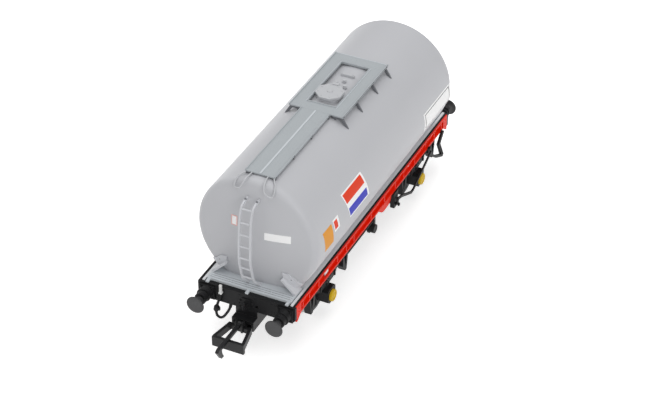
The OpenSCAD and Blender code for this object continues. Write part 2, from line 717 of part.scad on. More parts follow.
// Brackets under the frame that hold the ends of the springs
module spring_hangers() color("dimgray") both_ends() both_sides() for (side = [-1, 1])
    translate([axle_x, 0, 0]) at_end(side) {
        inner = spring_reach + 0.05;
        top = solebar_bottom_z;
        low = axle_z + 0.9;
        slab_y(0.3 - frame_half, -spring_y - 0.1) difference() {
            polygon([[inner, top], [hanger_length, top], [hanger_length, top - 1.8],
                     [inner + 2.4, low], [inner + 1.4, low], [inner, low + 2.2]]);
            polygon([[inner + 0.8, top - 0.9], [inner + 2.4, top - 0.9], [inner + 1.9, low + 1.2]]);
        }
    }

function tread_arc(radius) = [for (a = [-18:6:24]) [-radius * cos(a), radius * sin(a)]];

// Blocks on the inner side of each wheel, hung on straps from the frame
module brake_blocks() color("dimgray") both_ends() both_sides() at_axle(1) {
    gap = wheel_diameter / 2 + 0.5;
    y = wheel_back_y + 1.2;
    slab_y(-y - 1.5, -y) polygon(concat(tread_arc(gap), [for (i = [7:-1:0]) tread_arc(gap + 1.1)[i]]));
    block([-gap - 1.6, -y - 1.1, -0.4], [-gap - 0.7, -y - 0.3, member_bottom_z - axle_z]);
}

// The round beams between the blocks, the pull rods and the pipe runs under the solebars
module brake_rods() color("dimgray") {
    beam_x = axle_x - wheel_diameter / 2 - 0.5 - 1.6;
    half = wheel_back_y + 1.5;
    for (side = [-1, 1]) bar([side * beam_x - side * 0.4, -half, axle_z + 0.4],
                             [side * beam_x - side * 0.4, half, axle_z + 0.4], 0.8);
    bar([beam_x - 0.8, 0, axle_z + 0.4], [shaft_x + 0.47, 0, shaft_z - 1.8], rod_diameter);
    bar([-beam_x + 0.8, -3, axle_z + 0.4], [shaft_x - 0.42, -3, shaft_z - arm_drop + 0.35], rod_diameter);
    both_sides() bar([hanger_length - axle_x, -web_y - 0.1, solebar_bottom_z - 1.4],
                     [pipe_x - 0.2, -web_y - 0.1, solebar_bottom_z - 1.4], 0.8);
}

// The cross shaft with its two drop arms
module brake_shaft() color("dimgray") {
    half = lever_y - 0.05;
    translate([shaft_x, -half, shaft_z]) rotate([-90, 0, 0]) cylinder(d = shaft_diameter, h = 2 * half);
    for (y = [0, -3]) block([shaft_x - 0.4, y - 0.4, shaft_z - arm_drop], [shaft_x + 0.4, y + 0.4, shaft_z]);
}

// Tapered hangers that carry the ends of the cross shaft
module shaft_hangers() color("dimgray") both_sides() difference() {
    slab_y(-frame_half - 0.5, -web_y) polygon([
        [shaft_x - 1.6, solebar_bottom_z], [shaft_x + 1.6, solebar_bottom_z],
        [shaft_x + 1.1, shaft_z - 1.1], [shaft_x - 1.1, shaft_z - 1.1]]);
    translate([shaft_x, 0, shaft_z]) rotate([90, 0, 0])
        cylinder(d = shaft_diameter + 2 * seat, h = frame_width);
}

module hand_brake_lever() slab_y(-lever_y - lever_thickness, -lever_y)
    polygon(band(lever_points, lever_width));

module hand_brake_lever_left() color("dimgray") at_side(1) hand_brake_lever();
module hand_brake_lever_right() color("dimgray") at_side(-1) hand_brake_lever();

// Guides that the ends of the hand-brake levers rest against, lapped over the solebars' lower edges
module lever_guides() color("dimgray") both_sides() {
    lap_z = solebar_bottom_z + 0.4;
    foot = [axle_x + 16.1, axle_z - 1.6];
    slab_y(-guide_y[1], -guide_y[0]) {
        polygon(band([[axle_x + 16, lap_z], [axle_x + 13.1, axle_z + 4.1], foot], 1.1));
        polygon(band([foot, [axle_x + 11, axle_z + 1], [axle_x + 7.6, axle_z + 3.5],
                      [axle_x + 5.8, lap_z]], 0.8));
    }
}

// ---------------------------------------------------------------- under the tank

module brake_cylinder() color("dimgray") translate([shaft_x - 9.2, -longitudinal_y, longitudinal_bottom_z]) {
    translate([0, 0, -1.9]) rotate([0, 90, 0]) {
        cylinder(r = 1.7, h = 5.4);
        translate([0, 0, 0.6]) cylinder(r = 1.9, h = 0.6);
    }
    block([1.6, -longitudinal_width / 2, -1], [3.4, longitudinal_width / 2, 0]);
}

module air_reservoir() color("dimgray") translate([pipe_x - 15.8, longitudinal_y, longitudinal_bottom_z]) {
    translate([0, -1.2, -2.2]) rotate([0, 90, 0]) rotate_extrude() polygon([
        [0, 0], [1.3, 0], [2, 0.6], [2, 10.4], [1.3, 11], [0, 11]]);
    for (x = [2.4, 7.8]) block([x, -longitudinal_width / 2, -1], [x + 0.8, longitudinal_width / 2, 0]);
}

// The bottom outlet with a capped branch to each side, held by a bracket under each solebar
module discharge_pipe() color("dimgray") {
    difference() {
        translate([pipe_x, 0, pipe_z]) cylinder(d = pipe_diameter + 0.4, h = 6);
        tank_body(seat);
    }
    both_sides() translate([pipe_x, 0, pipe_z]) rotate([90, 0, 0]) {
        cylinder(d = pipe_diameter, h = web_y - 0.9);
        translate([0, 0, web_y - 0.9]) cylinder(d = pipe_diameter + 0.9, h = 0.5);
        translate([0, 0, web_y - 0.4]) cylinder(d = pipe_diameter + 0.4, h = 1.5);
    }
    both_sides() block([pipe_x - 0.2, -web_y - 0.7, pipe_z], [pipe_x + 0.8, -web_y + 0.1, solebar_bottom_z]);
}

// ---------------------------------------------------------------- couplings

// A box under the headstock with the pin that the coupling swings on
module coupling_pocket(side) color("dimgray") at_end(side) {
    half = 3.2;
    slot_low = tail_z - tail_thickness - pocket_gap;
    slot_high = tail_z + pocket_gap;
    difference() {
        union() {
            block([pocket_back_x, -half, slot_low - 0.9], [headstock_x, half, longitudinal_bottom_z]);
            block([headstock_x, -half, slot_low - 0.9], [pocket_front_x, half, slot_high + 0.9]);
            block([pocket_back_x, -longitudinal_y + longitudinal_width / 2, longitudinal_bottom_z - 1],
                  [pocket_back_x + 1.5, longitudinal_y - longitudinal_width / 2, longitudinal_bottom_z + 1]);
        }
        block([pocket_back_x + 1, -half + 0.6, slot_low], [pocket_front_x + 1, half - 0.6, slot_high]);
        block([solebar_end_x - headstock_flange - 0.1, -10, headstock_bottom_z],
              [headstock_x + 0.1, 10, headstock_bottom_z + 2]);
    }
    translate([swing_x, 0, slot_low]) cylinder(d = swing_pin_diameter, h = slot_high - slot_low);
}

module coupling_pocket_near() coupling_pocket(-1);
module coupling_pocket_far() coupling_pocket(1);

// Outline of the tail, from above
module tail_outline() {
    half = 1.3;
    translate([swing_x, 0]) circle(half);
    translate([swing_x, -half]) square([pocket_front_x + 1 - swing_x, 2 * half]);
}

// Tail, ears, side arms and front bar in one moulding
module coupling_head(side) color("dimgray") at_end(side) {
    root_x = pocket_front_x + 1;
    root_half = 3.3;
    bar_half = bar_width / 2;
    arm_z = bar_top_z - 1.9;
    ear = 0.55;
    difference() {
        translate([0, 0, tail_z - tail_thickness]) linear_extrude(tail_thickness) tail_outline();
        translate([swing_x, 0, 0]) cylinder(d = swing_pin_diameter + 2 * pin_clearance, h = 30);
    }
    block([root_x, -root_half, tail_z - 1.4], [root_x + coupling_wall, root_half, tail_z]);
    for (s = [-1, 1]) translate([0, 0, arm_z]) linear_extrude(bar_top_z - arm_z)
        polygon([[root_x, s * root_half], [root_x, s * (root_half - coupling_wall)],
                 [bar_face_x - coupling_wall, s * (bar_half - coupling_wall)],
                 [bar_face_x - coupling_wall, s * bar_half]]);
    block([bar_face_x - coupling_wall, -bar_half, bar_bottom_z], [bar_face_x, bar_half, bar_top_z]);
    difference() {
        for (s = [-1, 1]) translate([0, s * (hook_thickness / 2 + 0.1 + ear / 2), 0])
            block([hook_pin_x - 0.8, -ear / 2, tail_z - 1.4], [hook_pin_x + 0.8, ear / 2, hook_pin_z + 0.8]);
        translate([hook_pin_x, 2, hook_pin_z]) rotate([90, 0, 0])
            cylinder(d = hook_pin_diameter + 2 * pin_clearance, h = 4);
    }
}

module coupling_head_near() coupling_head(-1);
module coupling_head_far() coupling_head(1);

// A flat hook that rests on the front bar and drops over a neighbour's bar
module coupling_hook(side) color("dimgray") at_end(side) {
    rest_z = bar_top_z + 0.08;
    top_z = rest_z + 1;
    pin_half = hook_thickness / 2 + 0.55;
    slab_y(-hook_thickness / 2, hook_thickness / 2) {
        translate([hook_pin_x, hook_pin_z]) circle(0.8);
        polygon([[hook_pin_x, rest_z], [hook_nose_x - 2.2, rest_z], [hook_nose_x - 2.4, rest_z - 1.2],
                 [hook_nose_x - 3.2, rest_z - 2.8], [hook_nose_x - 1.9, rest_z - 2.7],
                 [hook_nose_x, rest_z + 0.4], [hook_nose_x - 1, top_z], [hook_pin_x, top_z]]);
    }
    translate([hook_pin_x, pin_half, hook_pin_z]) rotate([90, 0, 0])
        cylinder(d = hook_pin_diameter, h = 2 * pin_half);
}

module coupling_hook_near() coupling_hook(-1);
module coupling_hook_far() coupling_hook(1);

// ---------------------------------------------------------------- wheelsets

// An axle with stepped journals and pointed ends
module axle(side) color("silver") at_axle(side) rotate([90, 0, 0]) rotate_extrude() {
    body = axle_diameter / 2;
    journal = journal_diameter / 2;
    shoulder = wheel_face_y + hub_stand;
    half = [[body, shoulder], [journal, shoulder], [journal, axle_tip_y - 1], [0.15, axle_tip_y], [0, axle_tip_y]];
    polygon(concat(half, [for (i = [4:-1:0]) [half[i][0], -half[i][1]]]));
}

module axle_near() axle(-1);
module axle_far() axle(1);

// Disc wheels with a dished face, fixed on the axle
module wheels(side) color("darkslategray") at_axle(side) both_sides() translate([0, -wheel_back_y, 0])
    rotate([90, 0, 0]) rotate_extrude($fn = fine) {
        bore = axle_diameter / 2;
        hub = bore + 1.1;
        tread = wheel_diameter / 2;
        rim = tread - 1;
        polygon([[bore, 0], [hub, 0], [hub + 0.3, 0.6], [rim - 0.2, 0.6], [rim, 0], [flange_radius - 0.3, 0],
                 [flange_radius, 0.3], [flange_radius - 0.1, 0.55], [tread, 0.85],
                 [tread - 0.05, wheel_width], [rim, wheel_width], [rim - 0.3, wheel_width - 1],
                 [hub + 0.3, wheel_width - 1], [hub, wheel_width + hub_stand], [bore, wheel_width + hub_stand]]);
    }

module wheels_near() wheels(-1);
module wheels_far() wheels(1);

tank_barrel();
manhole_collar();
manhole_lid();
tank_fittings();
walkway_deck();
walkway_frame();
walkway_brackets();
end_ladder();
grab_rails();
end_deck_near();
end_deck_far();
tank_stays();
side_members();
cross_bearers();
centre_longitudinals();
floor_strips();
solebar_left();
solebar_right();
solebar_gussets();
headstock_near();
headstock_far();
buffer_housings();
buffer_heads();
draw_hooks();
brake_hose_near();
brake_hose_far();
hose_cocks();
axleguards();
axleboxes();
axlebox_caps();
leaf_springs();
spring_hangers();
brake_blocks();
brake_rods();
brake_shaft();
shaft_hangers();
hand_brake_lever_left();
hand_brake_lever_right();
lever_guides();
brake_cylinder();
air_reservoir();
discharge_pipe();
coupling_pocket_near();
coupling_pocket_far();
coupling_head_near();
coupling_head_far();
coupling_hook_near();
coupling_hook_far();
axle_near();
axle_far();
wheels_near();
wheels_far();
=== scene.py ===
"""Looks of a small-scale model of a railway tank wagon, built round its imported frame.

The frame says where every construction piece is. This file gives each of them a finish, rounds
the edges of the moulded ones, replaces the coarse round ones with fine surfaces, and adds the
small things that a modelmaker adds: bolts, tread, plates, ribs and valves.

Surfaces are worked out in millimetres and go into metres as they are added. The studio and the
finishes are in metres, the finishes by way of MM.
"""

from __future__ import annotations

import json
import logging
import math
from collections.abc import Callable, Mapping, Sequence
from dataclasses import dataclass
from enum import Enum

import bmesh
import bpy
import numpy as np
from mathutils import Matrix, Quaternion, Vector

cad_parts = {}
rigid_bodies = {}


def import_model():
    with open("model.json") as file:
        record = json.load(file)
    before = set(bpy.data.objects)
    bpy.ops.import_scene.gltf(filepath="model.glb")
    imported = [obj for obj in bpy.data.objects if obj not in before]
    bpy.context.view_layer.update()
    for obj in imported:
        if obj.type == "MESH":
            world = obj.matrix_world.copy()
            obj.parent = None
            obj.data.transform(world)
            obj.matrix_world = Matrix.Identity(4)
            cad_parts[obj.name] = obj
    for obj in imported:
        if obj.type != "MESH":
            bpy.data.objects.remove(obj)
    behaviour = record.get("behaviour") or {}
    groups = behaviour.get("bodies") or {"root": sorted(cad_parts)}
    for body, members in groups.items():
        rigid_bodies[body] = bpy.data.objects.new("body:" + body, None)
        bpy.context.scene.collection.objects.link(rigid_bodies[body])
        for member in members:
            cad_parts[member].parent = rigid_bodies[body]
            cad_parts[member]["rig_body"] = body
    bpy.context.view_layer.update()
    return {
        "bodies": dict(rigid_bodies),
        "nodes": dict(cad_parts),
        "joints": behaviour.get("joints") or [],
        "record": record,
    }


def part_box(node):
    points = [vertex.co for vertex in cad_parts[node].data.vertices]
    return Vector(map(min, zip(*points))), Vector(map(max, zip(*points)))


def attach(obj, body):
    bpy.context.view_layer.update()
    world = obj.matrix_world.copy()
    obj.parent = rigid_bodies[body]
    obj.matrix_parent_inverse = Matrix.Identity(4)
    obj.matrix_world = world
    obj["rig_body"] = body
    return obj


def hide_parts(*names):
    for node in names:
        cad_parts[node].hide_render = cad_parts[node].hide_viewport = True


LOG = logging.getLogger("tank_wagon")
MM = 0.001
TURN = 2 * math.pi
RAIL_TOP = 0.75
SOLEBAR_LIP = 0.8
WELD = 0.002 * MM
RING_HEIGHT = 0.003 * MM
FLAT_ANGLE = math.radians(0.8)
SHARP_ANGLE = math.radians(32)
SIDES = (-1, 1)
ENDS = (("near", -1), ("far", 1))
Triple = tuple[float, float, float]
Colour = Triple
Box = tuple[Vector, Vector]


# ---------------------------------------------------------------- shader graph


def arithmetic(operation: str, swapped: bool = False) -> Callable[["Signal", "Value"], "Signal"]:
    """Makes an operator of signals.

    Args:
        operation: The Math node's operation.
        swapped: Whether the other value comes first.

    Returns:
        A method that puts a signal and another value through one Math node.
    """

    def method(self: "Signal", other: "Value") -> "Signal":
        """This and the other value, through the Math node."""
        return self.math(operation, other, self) if swapped else self.math(operation, self, other)

    return method


class Signal:
    """One shader socket, with arithmetic that adds Math nodes."""

    def __init__(self, graph: "Graph", socket: bpy.types.NodeSocket | None) -> None:
        """Wraps a socket of a graph."""
        self.graph = graph
        self.socket = socket

    def math(self, operation: str, *values: "Value") -> "Signal":
        """Adds one Math node.

        Args:
            operation: The node's operation, such as "ADD".
            values: Its inputs in order; this signal is among them where it's wanted.

        Returns:
            The node's result.
        """
        return self.graph.node("ShaderNodeMath", {"operation": operation}, dict(enumerate(values)))

    __add__, __radd__ = arithmetic("ADD"), arithmetic("ADD", True)
    __sub__, __rsub__ = arithmetic("SUBTRACT"), arithmetic("SUBTRACT", True)
    __mul__, __rmul__ = arithmetic("MULTIPLY"), arithmetic("MULTIPLY", True)
    __pow__ = arithmetic("POWER")

    def abs(self) -> "Signal":
        """The size of this without its sign."""
        return self.math("ABSOLUTE", self)

    def sine(self) -> "Signal":
        """The sine of this, in radians."""
        return self.math("SINE", self)

    def rise(self, low: float, high: float) -> "Signal":
        """A smooth step.

        Args:
            low: Where the step starts from 0.
            high: Where it reaches 1; below low it falls instead.

        Returns:
            A signal from 0 to 1.
        """
        start, end = (0.0, 1.0) if high > low else (1.0, 0.0)
        return self.graph.node(
            "ShaderNodeMapRange",
            {"interpolation_type": "SMOOTHSTEP"},
            {0: self, 1: min(low, high), 2: max(low, high), 3: start, 4: end},
        )


Value = float | int | tuple | Signal


class Graph:
    """The nodes of one material."""

    def __init__(self, name: str) -> None:
        """Starts an empty material of that name.

        Args:
            name: The material's name.
        """
        self.material = bpy.data.materials.new(name)
        self.material.use_nodes = True
        self.tree = self.material.node_tree
        self.tree.nodes.clear()

    def node(
        self,
        kind: str,
        settings: Mapping[str, object] | None = None,
        inputs: Mapping[str | int, Value] | None = None,
        output: str | int = 0,
    ) -> Signal:
        """Adds any node.

        Args:
            kind: The node's type.
            settings: Its properties, set before anything else.
            inputs: Values or signals by socket name or number.
            output: Name or number of the socket to go on with.

        Returns:
            That output.
        """
        made = self.tree.nodes.new(kind)
        for key, value in (settings or {}).items():
            setattr(made, key, value)
        for key, value in (inputs or {}).items():
            if isinstance(value, Signal):
                self.tree.links.new(value.socket, made.inputs[key])
            else:
                made.inputs[key].default_value = value
        return Signal(self, made.outputs[output] if made.outputs else None)

    def place(self) -> Signal:
        """The point on the piece, in metres in the wagon's own frame."""
        return self.node("ShaderNodeTexCoord", output="Object")

    def axes(self) -> tuple[Signal, Signal, Signal]:
        """The point's three coordinates as numbers.

        Returns:
            Its x, y and z.
        """
        split = self.node("ShaderNodeSeparateXYZ", inputs={0: self.place()})
        outputs = split.socket.node.outputs
        return Signal(self, outputs[0]), Signal(self, outputs[1]), Signal(self, outputs[2])

    def noise(self, size: float, detail: float = 2.0, stretch: Triple = (1, 1, 1)) -> Signal:
        """Smooth noise around zero.

        Args:
            size: Rough size of one blotch, in metres.
            detail: Number of finer layers.
            stretch: How much closer together the blotches are along each axis.

        Returns:
            A signal from about -0.5 to 0.5.
        """
        vector = self.node("ShaderNodeMapping", inputs={"Vector": self.place(), "Scale": stretch})
        raw = self.node("ShaderNodeTexNoise", inputs={"Vector": vector, "Scale": 1 / size, "Detail": detail})
        return raw - 0.5

    def shade(self, colour: Value, amount: Signal) -> Signal:
        """A colour made lighter or darker by a number."""
        settings = {"data_type": "RGBA", "blend_type": "MULTIPLY"}
        return self.node("ShaderNodeMix", settings, {0: 1.0, 6: colour, 7: amount}, 2)

    def blend(self, share: Signal, first: Value, second: Value) -> Signal:
        """A colour between two, by a share from 0 to 1."""
        return self.node("ShaderNodeMix", {"data_type": "RGBA"}, {0: share, 6: first, 7: second}, 2)


def rgba(colour: Colour) -> tuple[float, float, float, float]:
    """A colour with full cover."""
    return (*colour, 1.0)


# ---------------------------------------------------------------- finishes


@dataclass(frozen=True)
class Finish:
    """A moulded or painted surface with a faint mottle and a fine grain."""

    name: str
    slot: str
    colour: Colour
    roughness: float
    metallic: float = 0.0
    specular: float = 0.5
    mottle: float = 0.04
    mottle_size: float = 7 * MM
    grain: float = 0.004 * MM
    grain_size: float = 0.16 * MM

    def relief(self, graph: Graph) -> Signal | None:
        """Height of the finish's own relief in metres, or None where it has only the grain."""
        return None

    def paint(self, graph: Graph, colour: Signal) -> Signal:
        """The colour with whatever lies on it; plain here."""
        return colour

    def gloss(self, graph: Graph, roughness: Signal) -> Signal:
        """The roughness with whatever changes it; plain here."""
        return roughness

    def build(self) -> bpy.types.Material:
        """Makes the material.

        Its tone and its roughness follow wide blotches and, more faintly, fine pores, and the pores
        are also the height of the grain.

        Returns:
            The finished material.
        """
        graph = Graph(self.name)
        blotches = graph.noise(self.mottle_size, 3.0)
        pores = graph.noise(self.grain_size, 2.0)
        tone = 1 + (blotches * 1.4 + pores * 0.6) * self.mottle
        colour = self.paint(graph, graph.shade(rgba(self.colour), tone))
        roughness = self.gloss(graph, self.roughness + blotches * 0.10 + pores * 0.08)
        height = pores * (2 * self.grain)
        relief = self.relief(graph)
        if relief is not None:
            height = height + relief
        normal = graph.node("ShaderNodeBump", inputs={"Strength": 1.0, "Distance": 1.0, "Height": height})
        shader = graph.node(
            "ShaderNodeBsdfPrincipled",
            inputs={
                "Base Color": colour,
                "Roughness": roughness,
                "Metallic": self.metallic,
                "Specular IOR Level": self.specular,
                "Normal": normal,
            },
        )
        graph.node("ShaderNodeOutputMaterial", inputs={"Surface": shader})
        return graph.material


@dataclass(frozen=True)
class ShellPaint(Finish):
    """Satin paint on the tank, painted a little darker low down near the frame: painted shade."""

    low: float = 15 * MM
    high: float = 24 * MM
    dimming: float = 0.07

    def paint(self, graph: Graph, colour: Signal) -> Signal:
        """Dims the paint near the frame as painted shade.

        Args:
            graph: The material's graph.
            colour: The colour so far.

        Returns:
            The dimmed colour.
        """
        _, _, height = graph.axes()
        # painted shade: the shell's colour darkens towards the frame below it, with a ragged edge
        low_shade = (height + graph.noise(3 * MM) * (4 * MM)).rise(self.high, self.low)
        return graph.shade(colour, 1 - low_shade * self.dimming)


@dataclass(frozen=True)
class DeckPlastic(Finish):
    """Grey deck moulding with a faint brushed grain along the wagon."""

    def relief(self, graph: Graph) -> Signal:
        """Fine streaks that run along the deck."""
        return graph.noise(0.5 * MM, 2.0, (0.12, 1.0, 1.0)) * (0.008 * MM)


@dataclass(frozen=True)
class SolebarPaint(Finish):
    """Red paint on the outer faces: the tops of the solebars are black but for one narrow edge."""

    top: float = 16.96 * MM
    edge: float = 13.85 * MM
    bare: Colour = (0.013, 0.013, 0.014)

    def paint(self, graph: Graph, colour: Signal) -> Signal:
        """Leaves the top black inside the edge.

        Args:
            graph: The material's graph.
            colour: The colour so far.

        Returns:
            The colour with the bare top.
        """
        _, across, height = graph.axes()
        inside = height.rise(self.top - 0.01 * MM, self.top) * across.rise(-self.edge, 0.03 * MM - self.edge)
        return graph.blend(inside, colour, rgba(self.bare))


@dataclass(frozen=True)
class TurnedMetal(Finish):
    """Metal turned on a lathe: fine rings round an axis that lies along the wagon."""

    across: float = 11.4 * MM
    height: float = 14.55 * MM
    pitch: float = 0.12 * MM

    def relief(self, graph: Graph) -> Signal:
        """Rings whose height is a sine of the distance from the axis.

        Args:
            graph: The material's graph.

        Returns:
            Their height in metres.
        """
        _, y, z = graph.axes()
        side, up = y.abs() - self.across, z - self.height
        radius = (side * side + up * up) ** 0.5
        return (radius * (TURN / self.pitch)).sine() * RING_HEIGHT


@dataclass(frozen=True)
class WheelMetal(Finish):
    """Blackened wheels whose treads and flanges are worn bright."""

    centres: float = 30 * MM
    height: float = 6.95 * MM
    tread: float = 6.2 * MM
    fade: float = 0.25 * MM
    pitch: float = 0.14 * MM
    bright: Colour = (0.42, 0.41, 0.40)

    def radius(self, graph: Graph) -> Signal:
        """Distance from the axle of the nearer wheelset.

        Args:
            graph: The material's graph.

        Returns:
            The distance in metres.
        """
        x, _, z = graph.axes()
        along, up = x.abs() - self.centres, z - self.height
        return (along * along + up * up) ** 0.5

    def paint(self, graph: Graph, colour: Signal) -> Signal:
        """Brightens what touches the rail.

        Args:
            graph: The material's graph.
            colour: The colour so far.

        Returns:
            The colour with bright treads.
        """
        ragged = self.radius(graph) + graph.noise(1.2 * MM) * (0.3 * MM)
        worn = ragged.rise(self.tread - self.fade, self.tread)
        return graph.blend(worn, colour, rgba(self.bright))

    def gloss(self, graph: Graph, roughness: Signal) -> Signal:
        """Polishes what touches the rail."""
        return roughness - self.radius(graph).rise(self.tread - self.fade, self.tread) * 0.2

    def relief(self, graph: Graph) -> Signal:
        """Fine turning marks round the axle."""
        return (self.radius(graph) * (TURN / self.pitch)).sine() * RING_HEIGHT


class Coat(Enum):
    """Every finish on the wagon."""

    TANK = ShellPaint("shell_grey_paint", "tank_grey", (0.53, 0.535, 0.56), 0.42, mottle=0.025,
                      mottle_size=11 * MM)
    LID = Finish("lid_grey_paint", "deck_grey", (0.53, 0.54, 0.56), 0.44, mottle=0.03)
    DECK = DeckPlastic("deck_grey_plastic", "deck_grey", (0.42, 0.45, 0.47), 0.5, mottle=0.05)
    PLATFORM = DeckPlastic("platform_grey_plastic", "deck_grey", (0.60, 0.635, 0.665), 0.5, mottle=0.05)
    # painted light: far lighter than the tank's grey, to make up for the shade under the tank on the floor
    # strips
    STRIP = Finish("strip_grey_painted_light", "deck_grey", (0.74, 0.75, 0.77), 0.5)
    # painted shade: much darker than the deck's grey, for the brackets in the shade under the decks; bolt
    # heads share it
    BRACKET = Finish("bracket_grey_painted_shade", "deck_grey", (0.16, 0.165, 0.18), 0.5)
    # painted shade: dark grey strips that stand for the shade in the end decks' grooves
    GROOVE = Finish("groove_grey_painted_shade", "deck_grey", (0.27, 0.285, 0.30), 0.5)
    LABEL_EDGE = Finish("label_pink_print", "solebar_red", (0.82, 0.42, 0.38), 0.4)
    LADDER = Finish("ladder_grey_plastic", "deck_grey", (0.62, 0.63, 0.66), 0.45)
    FRAME = Finish("underframe_black_plastic", "underframe_black", (0.010, 0.010, 0.011), 0.5, specular=0.22,
                   mottle=0.16)
    COUPLING = Finish("coupling_black_plastic", "coupling_black", (0.012, 0.012, 0.013), 0.38, specular=0.3,
                      mottle=0.12)
    RUBBER = Finish("hose_black_rubber", "underframe_black", (0.012, 0.012, 0.013), 0.62, specular=0.3,
                    mottle=0.12)
    RED = SolebarPaint("solebar_red_paint", "solebar_red", (0.84, 0.020, 0.002), 0.42, specular=0.16,
                       mottle=0.06, grain=0.002 * MM)
    BUFFER = TurnedMetal("buffer_turned_metal", "buffer_steel", (0.034, 0.034, 0.036), 0.42, specular=0.5)
    YELLOW = Finish("cap_yellow_paint", "cap_yellow", (0.70, 0.46, 0.008), 0.4, specular=0.25, mottle=0.05,
                    grain=0.002 * MM)
    WHITE = Finish("handle_white_paint", "handle_white", (0.84, 0.84, 0.83), 0.45)
    AXLE = Finish("axle_turned_steel", "axle_steel", (0.55, 0.54, 0.53), 0.3, metallic=1.0, mottle=0.05)
    WHEEL = WheelMetal("wheel_blackened_metal", "wheel_metal", (0.055, 0.055, 0.06), 0.45, metallic=0.4)
    PLATE = Finish("plate_white_print", "handle_white", (0.97, 0.97, 0.97), 0.4, mottle=0.01)
    PLATE_EDGE = Finish("plate_black_print", "underframe_black", (0.03, 0.03, 0.035), 0.4)
    ORANGE = Finish("panel_orange_print", "cap_yellow", (0.80, 0.33, 0.03), 0.45, specular=0.15,
                    mottle=0.05)
    VERMILION = Finish("panel_vermilion_print", "solebar_red", (0.80, 0.045, 0.006), 0.45, specular=0.15,
                       mottle=0.04)
    BLUE = Finish("panel_blue_print", "underframe_black", (0.025, 0.035, 0.52), 0.45, specular=0.15,
                  mottle=0.04)


# ---------------------------------------------------------------- surfaces


@dataclass
class Surface:
    """Vertices with the faces that join them."""

    points: np.ndarray
    faces: list[tuple[int, ...]]

    @staticmethod
    def joined(parts: Sequence["Surface"]) -> "Surface":
        """Puts several surfaces in one.

        Args:
            parts: The surfaces, in order.

        Returns:
            One surface with all of their faces.
        """
        starts = np.cumsum([0] + [len(part.points) for part in parts])
        faces = [
            tuple(int(start) + corner for corner in face)
            for start, part in zip(starts, parts)
            for face in part.faces
        ]
        return Surface(np.concatenate([part.points for part in parts]), faces)


def cells(rows: int, columns: int, wrap: bool) -> np.ndarray:
    """Corners of a grid's four-sided faces.

    Face (i, j) joins points (i, j), (i, j+1), (i+1, j+1) and (i+1, j); with wrap the last column
    meets the first again.

    Args:
        rows: Number of rows of points.
        columns: Number of points in a row.
        wrap: Whether each row closes on itself.

    Returns:
        An array of four point numbers a face.
    """
    i, j = np.meshgrid(np.arange(rows - 1), np.arange(columns if wrap else columns - 1), indexing="ij")
    k = (j + 1) % columns
    corners = np.stack([i * columns + j, i * columns + k, (i + 1) * columns + k, (i + 1) * columns + j], -1)
    return corners.reshape(-1, 4)


def loft(rows: np.ndarray) -> Surface:
    """Closed skin over a row of rings, with a fan of triangles over each end.

    Args:
        rows: Ring points, shaped (rings, points in a ring, 3).

    Returns:
        The closed surface.
    """
    rings, around = rows.shape[:2]
    points = np.concatenate([rows.reshape(-1, 3), rows[:1].mean(1), rows[-1:].mean(1)])
    faces = [tuple(face) for face in cells(rings, around, True).tolist()]
    first, last = rings * around, rings * around + 1
    base = (rings - 1) * around
    faces += [(first, (j + 1) % around, j) for j in range(around)]
    faces += [(last, base + j, base + (j + 1) % around) for j in range(around)]
    return Surface(points, faces)


def unit(vectors: np.ndarray) -> np.ndarray:
    """Vectors of length one along the last axis."""
    return vectors / np.linalg.norm(vectors, axis=-1, keepdims=True)


def square_to(axis: np.ndarray) -> tuple[np.ndarray, np.ndarray]:
    """Two unit vectors square to an axis and to each other.

    Args:
        axis: The axis, of length one.

    Returns:
        The two vectors.
    """
    helper = np.array([0.0, 0.0, 1.0]) if abs(axis[2]) < 0.9 else np.array([1.0, 0.0, 0.0])
    side = unit(np.cross(helper, axis))
    return side, np.cross(axis, side)


def revolved(profile: Sequence[tuple[float, float]], origin: Sequence[float], axis: Sequence[float],
             segments: int = 64) -> Surface:
    """Surface of revolution.

    Point (i, a) is origin + axis * along_i + radius_i * (side * cos a + over * sin a).

    Args:
        profile: Pairs of radius and distance along the axis.
        origin: Where the distance is zero.
        axis: Direction of the axis, of length one.
        segments: Number of points round it.

    Returns:
        The closed surface.
    """
    radius, along = np.array(profile, float).T
    direction = np.array(axis, float)
    side, over = square_to(direction)
    turn = np.linspace(0, TURN, segments, endpoint=False)[None, :, None]
    rows = (
        np.array(origin, float)
        + along[:, None, None] * direction
        + np.maximum(radius, 1e-4)[:, None, None] * (np.cos(turn) * side + np.sin(turn) * over)
    )
    return loft(rows)


def smooth_path(points: Sequence[Sequence[float]], steps: int) -> np.ndarray:
    """Cubic curve through points, tangent at each to the line between its neighbours.

    Args:
        points: The points to pass through.
        steps: Number of steps from each point to the next.

    Returns:
        The curve's points.
    """
    p = np.array(points, float)
    before, after = np.vstack([p[:1], p[:-1]]), np.vstack([p[1:], p[-1:]])
    beyond = np.vstack([p[2:], p[-1:], p[-1:]])
    t = (np.arange(steps) / steps)[None, :, None]
    a, b, c, d = (q[:-1, None, :] for q in (before, p, after, beyond))
    run = b + (c - a) * t / 2 + (2 * a - 5 * b + 4 * c - d) * t**2 / 2 + (3 * b - a - 3 * c + d) * t**3 / 2
    return np.vstack([run.reshape(-1, 3), p[-1:]])


def tube(path: np.ndarray, radius: float | np.ndarray, up: Sequence[float], sides: int = 20) -> Surface:
    """Round bar along a path.

    Point (i, a) is path_i + radius_i * (across_i * cos a + over_i * sin a), where across is square
    to the path and to up.

    Args:
        path: Centre line.
        radius: One radius, or one for each point of the path.
        up: A direction that the path never takes.
        sides: Number of points round the bar.

    Returns:
        The closed surface.
    """
    ahead = unit(np.gradient(path, axis=0))
    across = unit(np.cross(ahead, np.array(up, float)))
    over = np.cross(ahead, across)
    turn = np.linspace(0, TURN, sides, endpoint=False)[None, :, None]
    reach = np.broadcast_to(np.asarray(radius, float), (len(path),))[:, None, None]
    ring = np.cos(turn) * across[:, None, :] + np.sin(turn) * over[:, None, :]
    return loft(path[:, None, :] + reach * ring)


